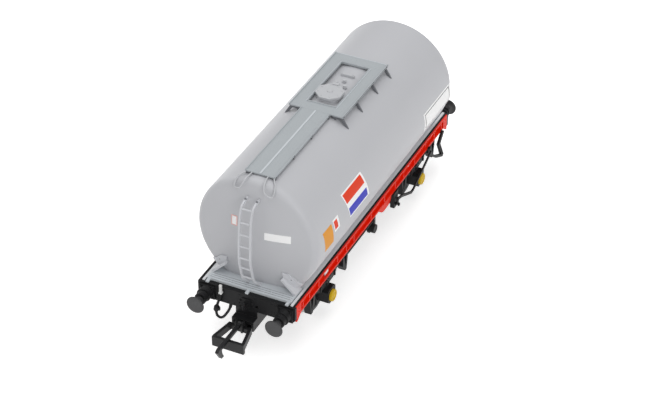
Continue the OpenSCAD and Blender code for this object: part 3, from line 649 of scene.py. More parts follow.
def studs(places: Sequence[Sequence[float]], axis: Sequence[float], diameter: float, height: float,
          sides: int = 10) -> Surface:
    """Many small domed heads, each a stack of four rings closed over the top.

    Ring radii are shares 1, 1, 0.72 and 0.3 of the head's at shares -0.4, 0.5, 0.9 and 1 of its height.

    Args:
        places: Foot of each head.
        axis: Direction that they stand in.
        diameter: Width of a head.
        height: Height of a head above its foot.
        sides: Points round a head; 6 makes a nut.

    Returns:
        All the heads in one surface.
    """
    direction = unit(np.array(axis, float))
    side, over = square_to(direction)
    turn = np.linspace(0, TURN, sides, endpoint=False)[None, :, None]
    share = np.array([1, 1, 0.72, 0.3])[:, None, None] * (diameter / 2)
    level = np.array([-0.4, 0.5, 0.9, 1.0])[:, None, None] * height
    head = loft(level * direction + share * (np.cos(turn) * side + np.sin(turn) * over))
    feet = np.array(places, float).reshape(-1, 3)
    points = (feet[:, None, :] + head.points[None]).reshape(-1, 3)
    count = len(head.points)
    faces = [tuple(n * count + corner for corner in face) for n in range(len(feet)) for face in head.faces]
    return Surface(points, faces)


def side_studs(places: Sequence[Sequence[float]], diameter: float, height: float, sides: int) -> Surface:
    """The same domed heads on the left and on the right of the wagon, standing outwards.

    Args:
        places: Foot of each head on the left: x, y and z.
        diameter: Width of a head.
        height: Height of a head.
        sides: Points round a head.

    Returns:
        The heads of both sides in one surface.
    """
    feet = np.array(places, float)
    return Surface.joined([studs(feet * [1, side, 1], (0, side, 0), diameter, height, sides)
                           for side in SIDES])


def blocks(lows: Sequence[Sequence[float]], highs: Sequence[Sequence[float]]) -> Surface:
    """Several boxes from their lowest and highest corners.

    Args:
        lows: Lowest corner of each box.
        highs: Highest corner of each box.

    Returns:
        All the boxes in one surface.
    """
    low, high = np.array(lows, float).reshape(-1, 1, 3), np.array(highs, float).reshape(-1, 1, 3)
    share = np.array([[0, 0, 0], [1, 0, 0], [1, 1, 0], [0, 1, 0], [0, 0, 1], [1, 0, 1], [1, 1, 1], [0, 1, 1]])
    points = (low + (high - low) * share).reshape(-1, 3)
    sheet = ((0, 3, 2, 1), (4, 5, 6, 7), (0, 1, 5, 4), (1, 2, 6, 5), (2, 3, 7, 6), (3, 0, 4, 7))
    faces = [tuple(8 * n + corner for corner in face) for n in range(len(low)) for face in sheet]
    return Surface(points, faces)


def slab(outer: np.ndarray, inner: np.ndarray) -> Surface:
    """Thin closed sheet between two grids of the same shape.

    Args:
        outer: Points of the face that shows, shaped (rows, columns, 3).
        inner: Points of the face behind it.

    Returns:
        The two faces with walls along all four edges.
    """
    rows, columns = outer.shape[:2]
    front = cells(rows, columns, False)
    rim = np.concatenate([
        np.arange(columns),
        np.arange(1, rows) * columns + columns - 1,
        (rows - 1) * columns + np.arange(columns - 2, -1, -1),
        np.arange(rows - 2, 0, -1) * columns,
    ])
    after, back = np.roll(rim, -1), rows * columns
    walls = np.stack([rim, rim + back, after + back, after], -1)
    faces = np.concatenate([front, front[:, ::-1] + back, walls])
    points = np.concatenate([outer.reshape(-1, 3), inner.reshape(-1, 3)])
    return Surface(points, [tuple(face) for face in faces.tolist()])


# ---------------------------------------------------------------- workshop


def extent(node: str) -> Box:
    """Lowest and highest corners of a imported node, in millimetres."""
    low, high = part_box(node)
    return low / MM, high / MM


def headstock_face(end: str, side: int) -> float:
    """Place along the wagon of a headstock's outer face, in millimetres."""
    low, high = extent(f"headstock_{end}")
    return low.x if side < 0 else high.x


class Workshop:
    """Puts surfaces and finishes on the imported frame."""

    def __init__(self, frame: dict) -> None:
        """Keeps the frame's nodes, and starts with no materials."""
        self.nodes: dict[str, bpy.types.Object] = frame["nodes"]
        self.materials: dict[Coat, bpy.types.Material] = {}

    def material(self, coat: Coat) -> bpy.types.Material:
        """The material of a finish, made once."""
        if coat not in self.materials:
            self.materials[coat] = coat.value.build()
        return self.materials[coat]

    def dress(self, node: str, coat: Coat) -> None:
        """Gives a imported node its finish.

        Args:
            node: The node.
            coat: Its finish.
        """
        mesh = self.nodes[node].data
        mesh.materials.clear()
        mesh.materials.append(self.material(coat))

    def finish_piece(self, mesh: bpy.types.Mesh, body: str, coat: Coat, edge: float,
                     replaces: Sequence[str]) -> None:
        """Makes a new mesh a piece of its own name: rounded, shaded, painted and on its body.

        Args:
            mesh: The new mesh.
            body: Body that it moves with.
            coat: Its finish.
            edge: Radius of its rounded edges, or 0 to leave them.
            replaces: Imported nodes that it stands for.
        """
        piece = bpy.data.objects.new(mesh.name, mesh)
        bpy.context.scene.collection.objects.link(piece)
        mesh.materials.append(self.material(coat))
        mesh.shade_smooth()
        mesh.set_sharp_from_angle(angle=SHARP_ANGLE)
        if edge:
            bevel = piece.modifiers.new("rounded_edges", "BEVEL")
            bevel.width = edge * MM
            bevel.segments = 2
            bevel.limit_method = "ANGLE"
            bevel.angle_limit = SHARP_ANGLE
            bevel.use_clamp_overlap = True
            even = piece.modifiers.new("even_shading", "WEIGHTED_NORMAL")
            even.keep_sharp = False
            mesh.set_sharp_from_angle(angle=math.pi)
        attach(piece, body)
        if replaces:
            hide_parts(*replaces)
        LOG.info("%s: %d faces on %s", piece.name, len(mesh.polygons), body)

    def add(self, shape: Surface | Sequence[Surface], name: str, coat: Coat, edge: float = 0.0,
            replaces: Sequence[str] = (), body: str = "wagon") -> None:
        """Makes a piece from one surface or several.

        Args:
            shape: Its surface or surfaces, in millimetres.
            name: Its name.
            coat: Its finish.
            edge: Radius of its rounded edges, or 0.
            replaces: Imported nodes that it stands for.
            body: Body that it moves with.
        """
        surface = shape if isinstance(shape, Surface) else Surface.joined(shape)
        mesh = bpy.data.meshes.new(name)
        mesh.from_pydata((surface.points * MM).tolist(), [], surface.faces)
        work = bmesh.new()
        work.from_mesh(mesh)
        bmesh.ops.recalc_face_normals(work, faces=work.faces)
        work.to_mesh(mesh)
        work.free()
        self.finish_piece(mesh, body, coat, edge, replaces)

    def round_off(self, coat: Coat, edge: float, *nodes: str) -> None:
        """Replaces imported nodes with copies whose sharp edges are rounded.

        Args:
            coat: Their finish.
            edge: Radius of their rounded edges, or 0 to leave them.
            nodes: The nodes.
        """
        for node in nodes:
            source = self.nodes[node]
            mesh = bpy.data.meshes.new(f"{node}_moulding")
            work = bmesh.new()
            work.from_mesh(source.data)
            bmesh.ops.remove_doubles(work, verts=work.verts, dist=WELD)
            bmesh.ops.dissolve_limit(work, angle_limit=FLAT_ANGLE, verts=work.verts, edges=work.edges)
            work.to_mesh(mesh)
            work.free()
            self.finish_piece(mesh, source["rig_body"], coat, edge, [node])


# ---------------------------------------------------------------- tank


@dataclass
class Tank:
    """The barrel, with its rolled rims and domed ends, and what stands on its crown."""

    shop: Workshop
    knuckle: float = 2.2
    crown: float = 67.7
    bead: float = 0.05
    bead_width: float = 0.35
    bead_inset: float = 0.5

    def __post_init__(self) -> None:
        """Reads the barrel's radius, axis and end from the frame."""
        low, high = extent("tank_barrel")
        self.radius = (high.y - low.y) / 2
        self.axis = (high.z + low.z) / 2
        self.end = high.x
        self.crown_centre = self.end - self.crown
        self.knuckle_ring = self.radius - self.knuckle
        slant = self.crown - self.knuckle
        self.knuckle_at = self.crown_centre + math.sqrt(slant**2 - self.knuckle_ring**2)

    def profile(self) -> np.ndarray:
        """Half outline of the barrel, from one pole to the other.

        The crown is an arc about (0, crown centre), the knuckle an arc about the point where it
        meets the shell, and the shell a straight line with a low bead, a raised cosine, at each rim.

        Returns:
            Pairs of radius and place along the wagon.
        """
        lean = math.asin(self.knuckle_ring / (self.crown - self.knuckle))
        spread = np.linspace(0, lean, 26)[1:]
        dome = np.stack([self.crown * np.sin(spread), self.crown_centre + self.crown * np.cos(spread)], -1)
        bend = np.linspace(lean, math.pi / 2, 12)[1:]
        rim = np.stack([self.knuckle_ring + self.knuckle * np.sin(bend),
                        self.knuckle_at + self.knuckle * np.cos(bend)], -1)
        along = np.linspace(self.knuckle_at - 0.01, 0, 160)
        seam = self.knuckle_at - self.bead_inset
        lift = np.clip(1 - np.abs(along - seam) / self.bead_width, 0, 1)
        shell = np.stack([self.radius + self.bead * (1 - np.cos(np.pi * lift)) / 2, along], -1)
        half = np.vstack([[[0.0, self.end]], dome, rim, shell])
        return np.vstack([half, half[-2::-1] * [1, -1]])

    def shell_point(self, along: np.ndarray, turn: np.ndarray, lift: float) -> np.ndarray:
        """Point on the shell at a place along it and an angle from its top towards -Y."""
        reach = self.radius + lift
        return np.stack([along, -reach * np.sin(turn), self.axis + reach * np.cos(turn)], -1)

    def dome_point(self, across: np.ndarray, height: np.ndarray, lift: float) -> np.ndarray:
        """Point on the near end: -x = centre + sqrt(crown squared - across squared - rise squared).

        Args:
            across: Places across the wagon.
            height: Heights.
            lift: Distance above the paint.

        Returns:
            The points.
        """
        reach, rise = self.crown + lift, height - self.axis
        along = self.crown_centre + np.sqrt(reach**2 - across**2 - rise**2)
        return np.stack([-along, across, height], -1)

    def build(self) -> None:
        """Adds the barrel, the manhole and the fittings."""
        barrel = revolved(self.profile(), (0, 0, self.axis), (1, 0, 0), 192)
        self.shop.add(barrel, "barrel_shell", Coat.TANK, replaces=["tank_barrel"])
        self.manhole()
        self.fittings()

    def manhole(self) -> None:
        """Collar, eight-sided lid with a raised rim, its clamps and its hinge."""
        shop = self.shop
        low, high = extent("manhole_collar")
        lid_low, lid_high = extent("manhole_lid")
        x, radius, top = (low.x + high.x) / 2, (high.x - low.x) / 2, high.z
        rim, flange, foot = radius + 0.3, radius + 0.35, top - 1.9
        collar = [(0, foot), (flange, foot), (flange, top - 0.85), (radius, top - 0.7), (radius, top - 0.25),
                  (rim, top - 0.2), (rim, top), (0, top)]
        shop.add(revolved(collar, (x, 0, 0), (0, 0, 1)), "manhole_ring", Coat.TANK, 0.04, ["manhole_collar"])
        shop.round_off(Coat.LID, 0.12, "manhole_lid")
        flat, face = (lid_high.x - lid_low.x) / 2, lid_low.z + 0.75
        turn = TURN / 8 * (np.arange(8) + 0.5)
        places = [[x, 0, face]] + (flat - 0.55) * np.stack([np.cos(turn), np.sin(turn), 0 * turn], -1)
        clamps = studs(places, (0, 0, 1), 0.42, 0.16)
        hinge = blocks([[x + flat - 0.5, -0.9, face - 0.5]], [[x + flat + 0.55, 0.9, face + 0.3]])
        shop.add([clamps, hinge], "manhole_clamps", Coat.LID, 0.03)

    def fittings(self) -> None:
        """Relief valves turned in steps, and a lifting bar on two feet."""
        shop = self.shop
        shop.round_off(Coat.LID, 0.07, "tank_fittings")
        high = extent("tank_fittings")[1]
        manhole_low, manhole_high = extent("manhole_lid")
        x = (manhole_low.x + manhole_high.x) / 2
        steps = [(0.62, 0), (0.62, 0.14), (0.36, 0.2), (0.36, 0.4), (0.5, 0.46), (0.5, 0.62), (0.2, 0.74)]
        valves = [revolved(steps, (x + along, across, high.z - 0.5), (0, 0, 1), 24)
                  for along, across in ((5.6, -1.8), (6.6, 1.2), (8.2, -0.4))]
        feet = studs([[high.x - 0.4, y, high.z] for y in (-1.6, 1.6)], (0, 0, 1), 0.5, 0.2, 6)
        shop.add([*valves, feet], "valve_bodies", Coat.LID)


@dataclass
class Markings:
    """Blank plates and plain colour panels on the tank and the solebars."""

    shop: Workshop
    tank: Tank
    lift: float = 0.025
    sink: float = 0.03

    def on_shell(self, start: float, end: float, top: float, bottom: float, slant: float = 0.0,
                 lift: float | None = None) -> Surface:
        """Panel on the -Y side of the shell.

        Point (i, j) is at place start + i-share of the length + slant times the j-share, and at
        an angle from the top between the two given.

        Args:
            start: Its left end along the wagon.
            end: Its right end.
            top: Angle of its upper edge from the top of the tank, in degrees.
            bottom: Angle of its lower edge.
            slant: How far the lower edge is shifted along the wagon.
            lift: Height above the paint.

        Returns:
            The closed panel.
        """
        share, drop = np.meshgrid(np.linspace(0, 1, 25), np.linspace(0, 1, 25), indexing="ij")
        along = start + (end - start) * share + slant * drop
        turn = np.radians(top + (bottom - top) * drop)
        rise = self.lift if lift is None else lift
        return slab(self.tank.shell_point(along, turn, rise), self.tank.shell_point(along, turn, -self.sink))

    def on_dome(self, across: tuple[float, float], heights: tuple[float, float], lift: float | None = None,
                slant: float = 0.0) -> Surface:
        """Panel on the near end between two places across and two heights.

        Args:
            across: Its two sides.
            heights: Its lower and upper edges.
            lift: Height above the paint.
            slant: How much it climbs for each millimetre across.

        Returns:
            The closed panel.
        """
        y, z = np.meshgrid(np.linspace(*across, 17), np.linspace(*heights, 17), indexing="ij")
        z = z + slant * (y - y.mean())
        rise = self.lift if lift is None else lift
        return slab(self.tank.dome_point(y, z, rise), self.tank.dome_point(y, z, -self.sink))

    def build(self) -> None:
        """Adds every plate and panel, with its border a little lower than its face."""
        dome, shell, face, top = self.on_dome, self.on_shell, self.lift * 1.8, self.lift * 2.5
        panels = (
            ("number_plate_blank", Coat.PLATE, dome((-10.6, -3.4), (33.1, 35.3), face, -0.07)),
            ("end_label_border", Coat.LABEL_EDGE, dome((4.4, 6.2), (34.7, 37.7))),
            ("end_label_blank", Coat.PLATE, dome((4.65, 5.95), (34.95, 37.45), face)),
            ("side_panel_border", Coat.PLATE, shell(24, 43, 84, 107.5, 2.4)),
            ("side_panel_line", Coat.PLATE_EDGE, shell(24.9, 41.9, 86, 105.3, 2.3, face)),
            ("side_panel_blank", Coat.PLATE, shell(25.2, 41.6, 86.9, 104.4, 2.2, top)),
            ("stripe_panel_ground", Coat.PLATE, shell(-27.5, -15.5, 66, 95, 3)),
            ("stripe_panel_upper", Coat.VERMILION, shell(-26.9, -16.1, 67.6, 78, 1.0, face)),
            ("stripe_panel_lower", Coat.BLUE, shell(-25.3, -14.5, 84, 93.4, 0.9, face)),
            ("orange_panel", Coat.ORANGE, shell(-40.5, -35.5, 78, 99, 1.1)),
            ("orange_panel_end", Coat.PLATE, shell(-34.6, -31.6, 77, 90, 0.7)),
            ("orange_panel_spot", Coat.VERMILION, shell(-34.2, -32.4, 79, 88, 0.5, face)),
        )
        for name, coat, surface in panels:
            self.shop.add(surface, name, coat)
        self.on_solebars()

    def on_solebars(self) -> None:
        """A label in its clip, and a small round spot further along."""
        shop = self.shop
        low, high = extent("solebar_right")
        web, middle = low.y + SOLEBAR_LIP, high.z - 1.65
        clip = blocks([[-32.3, web - 0.12, middle - 1.05]], [[-29.7, web + 0.05, middle + 1.05]])
        card = blocks([[-32.1, web - 0.16, middle - 0.9]], [[-29.9, web - 0.05, middle + 0.9]])
        shop.add(clip, "label_clip", Coat.PLATE_EDGE, 0.03)
        shop.add(card, "label_card", Coat.PLATE)
        shop.add(studs([[23.3, web, middle]], (0, -1, 0), 0.9, 0.14, 16), "label_spot", Coat.PLATE)


# ---------------------------------------------------------------- walkway and ladder


@dataclass
class Walkway:
    """Decks with raised tread, their brackets, and the grab rails at their end."""

    shop: Workshop
    pitch: float = 0.75
    pip_length: float = 0.42
    pip_width: float = 0.15
    pip_height: float = 0.05
    lip_height: float = 0.25
    opening_start: float = 3.4
    opening_end: float = 25.4
    opening_half: float = 4.4

    HOOP = ((0.02, 2.3, 0.4), (1.81, 2.5, 0.32), (3.51, 2.9, -0.39), (4.41, 3.4, -1.58), (4.31, 4.2, -2.31),
            (3.91, 5.2, -2.6), (3.61, 5.6, -1.98), (2.71, 5.5, -0.89), (1.81, 5.2, -0.2), (0.05, 4.05, 0.22))

    def tread(self, low: Sequence[float], high: Sequence[float], level: float) -> Surface:
        """Raised lozenges in rows that lean in turn to either side.

        Lozenge (i, j) is centred on the grid point (i, j) of the pitch, and leans by plus or minus
        45 degrees as i + j is even or odd.

        Args:
            low: Lowest x and y of the strip.
            high: Highest x and y.
            level: Height of the deck's surface.

        Returns:
            All the lozenges of the strip.
        """
        counts = [max(int((b - a) / self.pitch), 1) for a, b in zip(low, high)]
        axes = [np.linspace(a, b, n + 1)[:-1] + (b - a) / n / 2 for a, b, n in zip(low, high, counts)]
        x, y = (grid.ravel() for grid in np.meshgrid(*axes, indexing="ij"))
        odd = (np.add.outer(np.arange(counts[0]), np.arange(counts[1])) % 2).ravel()
        lean = np.radians(np.where(odd, 45, -45))[:, None]
        length, width = self.pip_length / 2, self.pip_width / 2
        share = np.array([1, 1, 0.6])[:, None]
        u = (share * [length, 0, -length, 0]).ravel()
        v = (share * [0, width, 0, -width]).ravel()
        w = np.repeat([-0.02, 0, self.pip_height], 4)
        points = np.stack([
            x[:, None] + u * np.cos(lean) - v * np.sin(lean),
            y[:, None] + u * np.sin(lean) + v * np.cos(lean),
            level + np.broadcast_to(w, (len(x), 12)),
        ], -1).reshape(-1, 3)
        ring = [(0, 1, 5, 4), (1, 2, 6, 5), (2, 3, 7, 6), (3, 0, 4, 7)]
        pip = [(3, 2, 1, 0), *ring, *[tuple(c + 4 for c in face) for face in ring], (8, 9, 10, 11)]
        faces = [tuple(12 * n + corner for corner in face) for n in range(len(x)) for face in pip]
        return Surface(points, faces)

    def build(self) -> None:
        """Adds the decks, tread, rails and brackets."""
        shop = self.shop
        shop.round_off(Coat.DECK, 0.06, "walkway_deck", "walkway_frame")
        # the brackets' dark grey is painted shade from the decks above them
        shop.round_off(Coat.BRACKET, 0.05, "walkway_brackets")
        deck, frame = extent("walkway_deck"), extent("walkway_frame")
        self.treads(deck, frame)
        self.ridges(deck, frame)
        self.edge_bolts(deck, frame)
        self.rails(deck[0].x)

    def opening(self, frame: Box) -> tuple[float, float]:
        """Where the frame's opening starts and ends along the wagon."""
        return frame[0].x + self.opening_start, frame[0].x + self.opening_end

    def treads(self, deck: Box, frame: Box) -> None:
        """Tread on both decks and on the four strips round the frame's opening.

        Args:
            deck: Box of the decks.
            frame: Box of the frame.
        """
        (low, high), (frame_low, frame_high) = deck, frame
        lip, seam, half = 0.45, 0.4, self.opening_half
        start, end = self.opening(frame)
        strips = (
            ((low.x + lip, seam), (high.x, high.y - lip)),
            ((low.x + lip, low.y + lip), (high.x, -seam)),
            ((frame_low.x, frame_low.y + lip), (frame_high.x - lip, -half)),
            ((frame_low.x, half), (frame_high.x - lip, frame_high.y - lip)),
            ((frame_low.x, -half), (start, half)),
            ((end, -half), (frame_high.x - lip, half)),
        )
        level = frame_high.z - self.lip_height
        self.shop.add([self.tread(a, b, level) for a, b in strips], "walkway_tread", Coat.DECK)

    def ridges(self, deck: Box, frame: Box) -> None:
        """Low raised ridges, in a paler grey than the deck as a painted highlight: one over the seam of the
        decks, and others round the edges of the frame.

        Args:
            deck: Box of the decks.
            frame: Box of the frame.
        """
        (low, high), (frame_low, frame_high) = deck, frame
        base, half = frame_high.z - 0.3, 0.11
        top = frame_high.z - self.lip_height + 0.07
        seam = blocks([(low.x + half, -0.24, base)], [(high.x, 0.24, frame_high.z - 0.11)])
        start, end = self.opening(frame)
        left, right, last = frame_low.y + half, frame_high.y - half, frame_high.x - half
        inner = self.opening_half + half
        runs = (
            ((frame_low.x + half, left), (last, left)),
            ((frame_low.x + half, right), (last, right)),
            ((last, left), (last, right)),
            ((start, -inner), (end, -inner)),
            ((start, inner), (end, inner)),
        )
        lines = blocks([(x - half, y - half, base) for (x, y), _ in runs],
                       [(x + half, y + half, top) for _, (x, y) in runs])
        # painted highlight: the ridges take the paler platform grey, not the deck's own
        self.shop.add([seam, lines], "walkway_lips", Coat.PLATFORM)

    def edge_bolts(self, deck: Box, frame: Box) -> None:
        """Bolt heads along the sides of the decks, one over each bracket.

        Args:
            deck: Box of the decks.
            frame: Box of the frame.
        """
        level = deck[0].z + 0.2
        places = [[deck[0].x + 0.55 + i * 10.4, deck[1].y, level] for i in range(4)]
        places += [[frame[0].x + along, frame[1].y, level] for along in (0.6, 9.5, 19.5, 28.3)]
        self.shop.add(side_studs(places, 0.42, 0.16, 8), "walkway_bolts", Coat.BRACKET)

    def rails(self, start: float) -> None:
        """Two wire hoops over the shoulder of the tank, each along its own listed line.

        Args:
            start: Where the decks start along the wagon.
        """
        crown = extent("tank_barrel")[1].z
        wires = []
        for side in SIDES:
            line = smooth_path([(start - x, side * y, crown + z) for x, y, z in self.HOOP], 6)
            wires.append(tube(line, 0.2, (1, 0, -1), 14))
        self.shop.add(wires, "shoulder_rails", Coat.LID, replaces=["grab_rails"])


@dataclass
class LadderEnd:
    """The ladder, the two end decks with their stays, and the small brackets that hold them."""

    shop: Workshop

    def build(self) -> None:
        """Adds the ladder, its feet and clips, and both end decks."""
        shop = self.shop
        shop.round_off(Coat.LADDER, 0.05, "end_ladder")
        shop.round_off(Coat.LADDER, 0.06, "tank_stays")
        for end, side in ENDS:
            shop.round_off(Coat.PLATFORM, 0.07, f"end_deck_{end}")
            self.deck_lines(end, side)
        self.ladder_fixings()
        self.stay_bolts()

    def ladder_fixings(self) -> None:
        """A bolted foot under each side of the ladder and a bolt head at each of its tops."""
        low, high = extent("end_ladder")
        end = extent("tank_barrel")[0].x
        foot = np.array([[end - 0.4, y, low.z] for y in (low.y - 0.25, high.y - 0.7)])
        reach = np.array([1.3, 0.95, 0.3])
        bolts = studs(foot + reach * [0.5, 0.5, 1], (0, 0, 1), 0.45, 0.2, 6)
        tops = [[high.x - 1.3, y, high.z - 0.15] for y in (low.y + 0.22, high.y - 0.22)]
        heads = studs(tops, (-0.35, 0, 0.94), 0.62, 0.24, 8)
        self.shop.add([blocks(foot, foot + reach), bolts], "ladder_feet", Coat.LADDER, 0.03)
        self.shop.add(heads, "ladder_bolts", Coat.BRACKET)

    def stay_bolts(self) -> None:
        """Two bolt heads on the flange of each stay."""
        places = np.array([[45.75, 8.4, 22.7], [45.35, 10.4, 21.5]])
        parts = [studs(places * [end, side, 1], (end, side * 0.15, -0.15), 0.55, 0.3, 8)
                 for end in SIDES for side in SIDES]
        self.shop.add(parts, "stay_bolts", Coat.BRACKET)

    def deck_lines(self, end: str, side: int) -> None:
        """Raised planking lines across an end deck, thin dark strips of painted shade for its shallow
        grooves, and four bolts.

        Args:
            end: Which end of the wagon.
            side: Sign of that end's x.
        """
        high = extent(f"end_deck_{end}")[1]
        front = headstock_face(end, side) - side * 1.5
        top, half = high.z, high.y - 0.5

        def planks(places: Sequence[float], width: float, rise: float) -> Surface:
            """Strips across the deck at some distances from its front."""
            rows = [front - side * place for place in places]
            return blocks([[x - width, -half, top - 0.05] for x in rows],
                          [[x + width, half, top + rise] for x in rows])

        feet = [[front - side * 1.15, y * half, top + 0.05] for y in (-0.97, -0.5, 0.5, 0.97)]
        bolts = studs(feet, (0, 0, 1), 0.5, 0.18, 8)
        ribs = planks((0.35, 1.15, 1.95), 0.12, 0.06)
        self.shop.add([ribs, bolts], f"end_deck_ribs_{end}", Coat.PLATFORM, 0.02)
        # the grooves are drawn as painted shade: thin dark strips barely above the deck
        self.shop.add(planks((0.72, 1.5, 2.3), 0.09, 0.012), f"end_deck_grooves_{end}", Coat.GROOVE)


# ---------------------------------------------------------------- underframe


@dataclass
class Underframe:
    """Solebars, headstocks and the members between them, with their rivets."""

    shop: Workshop
    rivet: float = 0.36

    def build(self) -> None:
        """Adds the frame and its rivets."""
        shop = self.shop
        shop.round_off(Coat.RED, 0, "solebar_left", "solebar_right")
        shop.round_off(Coat.RED, 0.06, "solebar_gussets")
        shop.round_off(Coat.FRAME, 0.08, "headstock_near", "headstock_far", "side_members", "cross_bearers",
                       "centre_longitudinals")
        # the floor strips' light grey is painted light against the shade under the tank
        shop.round_off(Coat.STRIP, 0.05, "floor_strips")
        self.solebar_rivets()
        for end, side in ENDS:
            self.headstock_rivets(end, side)

    def solebar_rivets(self) -> None:
        """Pairs of rivets on the web beside each rib's foot, and a row along the deep ends."""
        low = extent("solebar_right")[0]
        web = abs(low.y) - SOLEBAR_LIP
        rows = [[x, web, low.z + z] for x in np.linspace(-45, 45, 31) for z in (2.5, 3.9)]
        ends = [[end * 48.9, abs(low.y), low.z + z] for end in SIDES for z in (1.6, 2.7, 3.8)]
        self.shop.add(side_studs(rows + ends, self.rivet, 0.12, 8), "solebar_rivets", Coat.RED)

    def headstock_rivets(self, end: str, side: int) -> None:
        """Rivets round the buffers, beside the draw hook and along the lower edge of a headstock.

        Args:
            end: Which end of the wagon.
            side: Sign of that end's x.
        """
        low, high = extent(f"headstock_{end}")
        face = headstock_face(end, side)
        row = [(y, low.z + 0.55) for y in np.linspace(-12.6, 12.6, 15)]
        inner = [(y, z) for y in (-8.1, -7.3, -2.1, 2.1, 7.3) for z in (low.z + 1.5, high.z - 0.8)]
        rivets = studs([[face, y, z] for y, z in row + inner], (side, 0, 0), self.rivet, 0.13, 8)
        nuts = studs([[face, y, high.z - 2.4] for y in (-1.75, 1.75)], (side, 0, 0), 0.6, 0.28, 6)
        self.shop.add([rivets, nuts], f"headstock_rivets_{end}", Coat.FRAME)


@dataclass
class Buffers:
    """Four buffers: stepped housings on bolted bases, and dished heads."""

    shop: Workshop
    across: float = 11.4

    def build(self) -> None:
        """Adds the housings, the heads and their bolts."""
        shop = self.shop
        shop.round_off(Coat.FRAME, 0.06, "buffer_housings")
        low, high = extent("buffer_heads")
        housing, start = extent("buffer_housings")[1].x, headstock_face("far", 1)
        height, radius, face = (low.z + high.z) / 2, (high.z - low.z) / 2, high.x
        head = [(0.95, housing - 0.4), (0.95, face - 1.1), (1.3, face - 0.75), (radius - 0.35, face - 0.5),
                (radius - 0.07, face - 0.46), (radius, face - 0.37), (radius, face - 0.17),
                (radius - 0.09, face - 0.05), (radius - 0.35, face), (radius * 0.6, face - 0.03),
                (radius * 0.2, face - 0.05)]
        ring = [(1.5, start + 1.9), (1.98, start + 2.0), (1.98, start + 2.35), (1.5, start + 2.45)]
        heads, extras = [], []
        for side in SIDES:
            for y in (-self.across, self.across):
                origin, axis = (0, y, height), (side, 0, 0)
                heads.append(revolved(head, origin, axis))
                places = [[side * (start + 0.6), y + u * 1.72, height + v * 1.5]
                          for u in SIDES for v in SIDES]
                extras += [studs(places, axis, 0.62, 0.3, 6), revolved(ring, origin, axis, 40)]
        shop.add(heads, "buffer_faces", Coat.BUFFER, replaces=["buffer_heads"])
        shop.add(extras, "buffer_bolts", Coat.FRAME)


@dataclass
class EndFittings:
    """Draw hooks, brake hoses and their cocks."""

    shop: Workshop
    hose: float = 0.35
    rib_pitch: float = 0.42
    rib_height: float = 0.035
    sleeve: float = 1.1

    ROUTE = ((0.5, 7.2, 14.48), (0.6, 7.4, 13.2), (0.8, 8.0, 11.4), (0.9, 8.4, 9.6), (0.9, 8.5, 8.2),
             (0.8, 8.3, 7.1), (0.6, 7.6, 6.5), (0.4, 6.8, 6.8), (0.2, 6.0, 7.9), (0, 5.3, 9.2),
             (-0.3, 4.9, 10.4), (-0.5, 4.8, 11.3))

    def build(self) -> None:
        """Adds hooks, hoses and handles at both ends."""
        shop = self.shop
        shop.round_off(Coat.FRAME, 0.07, "draw_hooks")
        shop.round_off(Coat.WHITE, 0.14, "hose_cocks")
        for end, side in ENDS:
            self.brake_hose(end, side)

    def brake_hose(self, end: str, side: int) -> None:
        """One moulded hose: a ribbed tube whose radius is r + rib * cos(length along it / pitch).

        Args:
            end: Which end of the wagon.
            side: Sign of that end's x.
        """
        face = headstock_face(end, side)
        line = smooth_path([(face + side * x, y, RAIL_TOP + z) for x, y, z in self.ROUTE], 16)
        length = np.concatenate([[0], np.cumsum(np.linalg.norm(np.diff(line, axis=0), axis=1))])
        ribs = self.hose + self.rib_height * np.cos(length * TURN / self.rib_pitch)
        near_end = np.minimum(length, length[-1] - length) < self.sleeve
        radius = np.where(near_end, self.hose + 0.09, ribs)
        lump = line[len(line) * 3 // 11]
        half = [(0.36, 0.95), (0.55, 0.9), (0.55, 0.6), (0.78, 0.5)]
        collar = revolved([(r, -x) for r, x in half] + half[::-1], lump, (0, 0.2, -0.98), 24)
        lug = blocks([lump + [-0.3, -1.0, -0.45]], [lump + [0.3, -0.4, 0.45]])
        hose = tube(line, radius, (1, 0, 0), 18)
        self.shop.add([hose, collar, lug], f"brake_hose_moulding_{end}", Coat.RUBBER,
                      replaces=[f"brake_hose_{end}"])


# ---------------------------------------------------------------- running gear


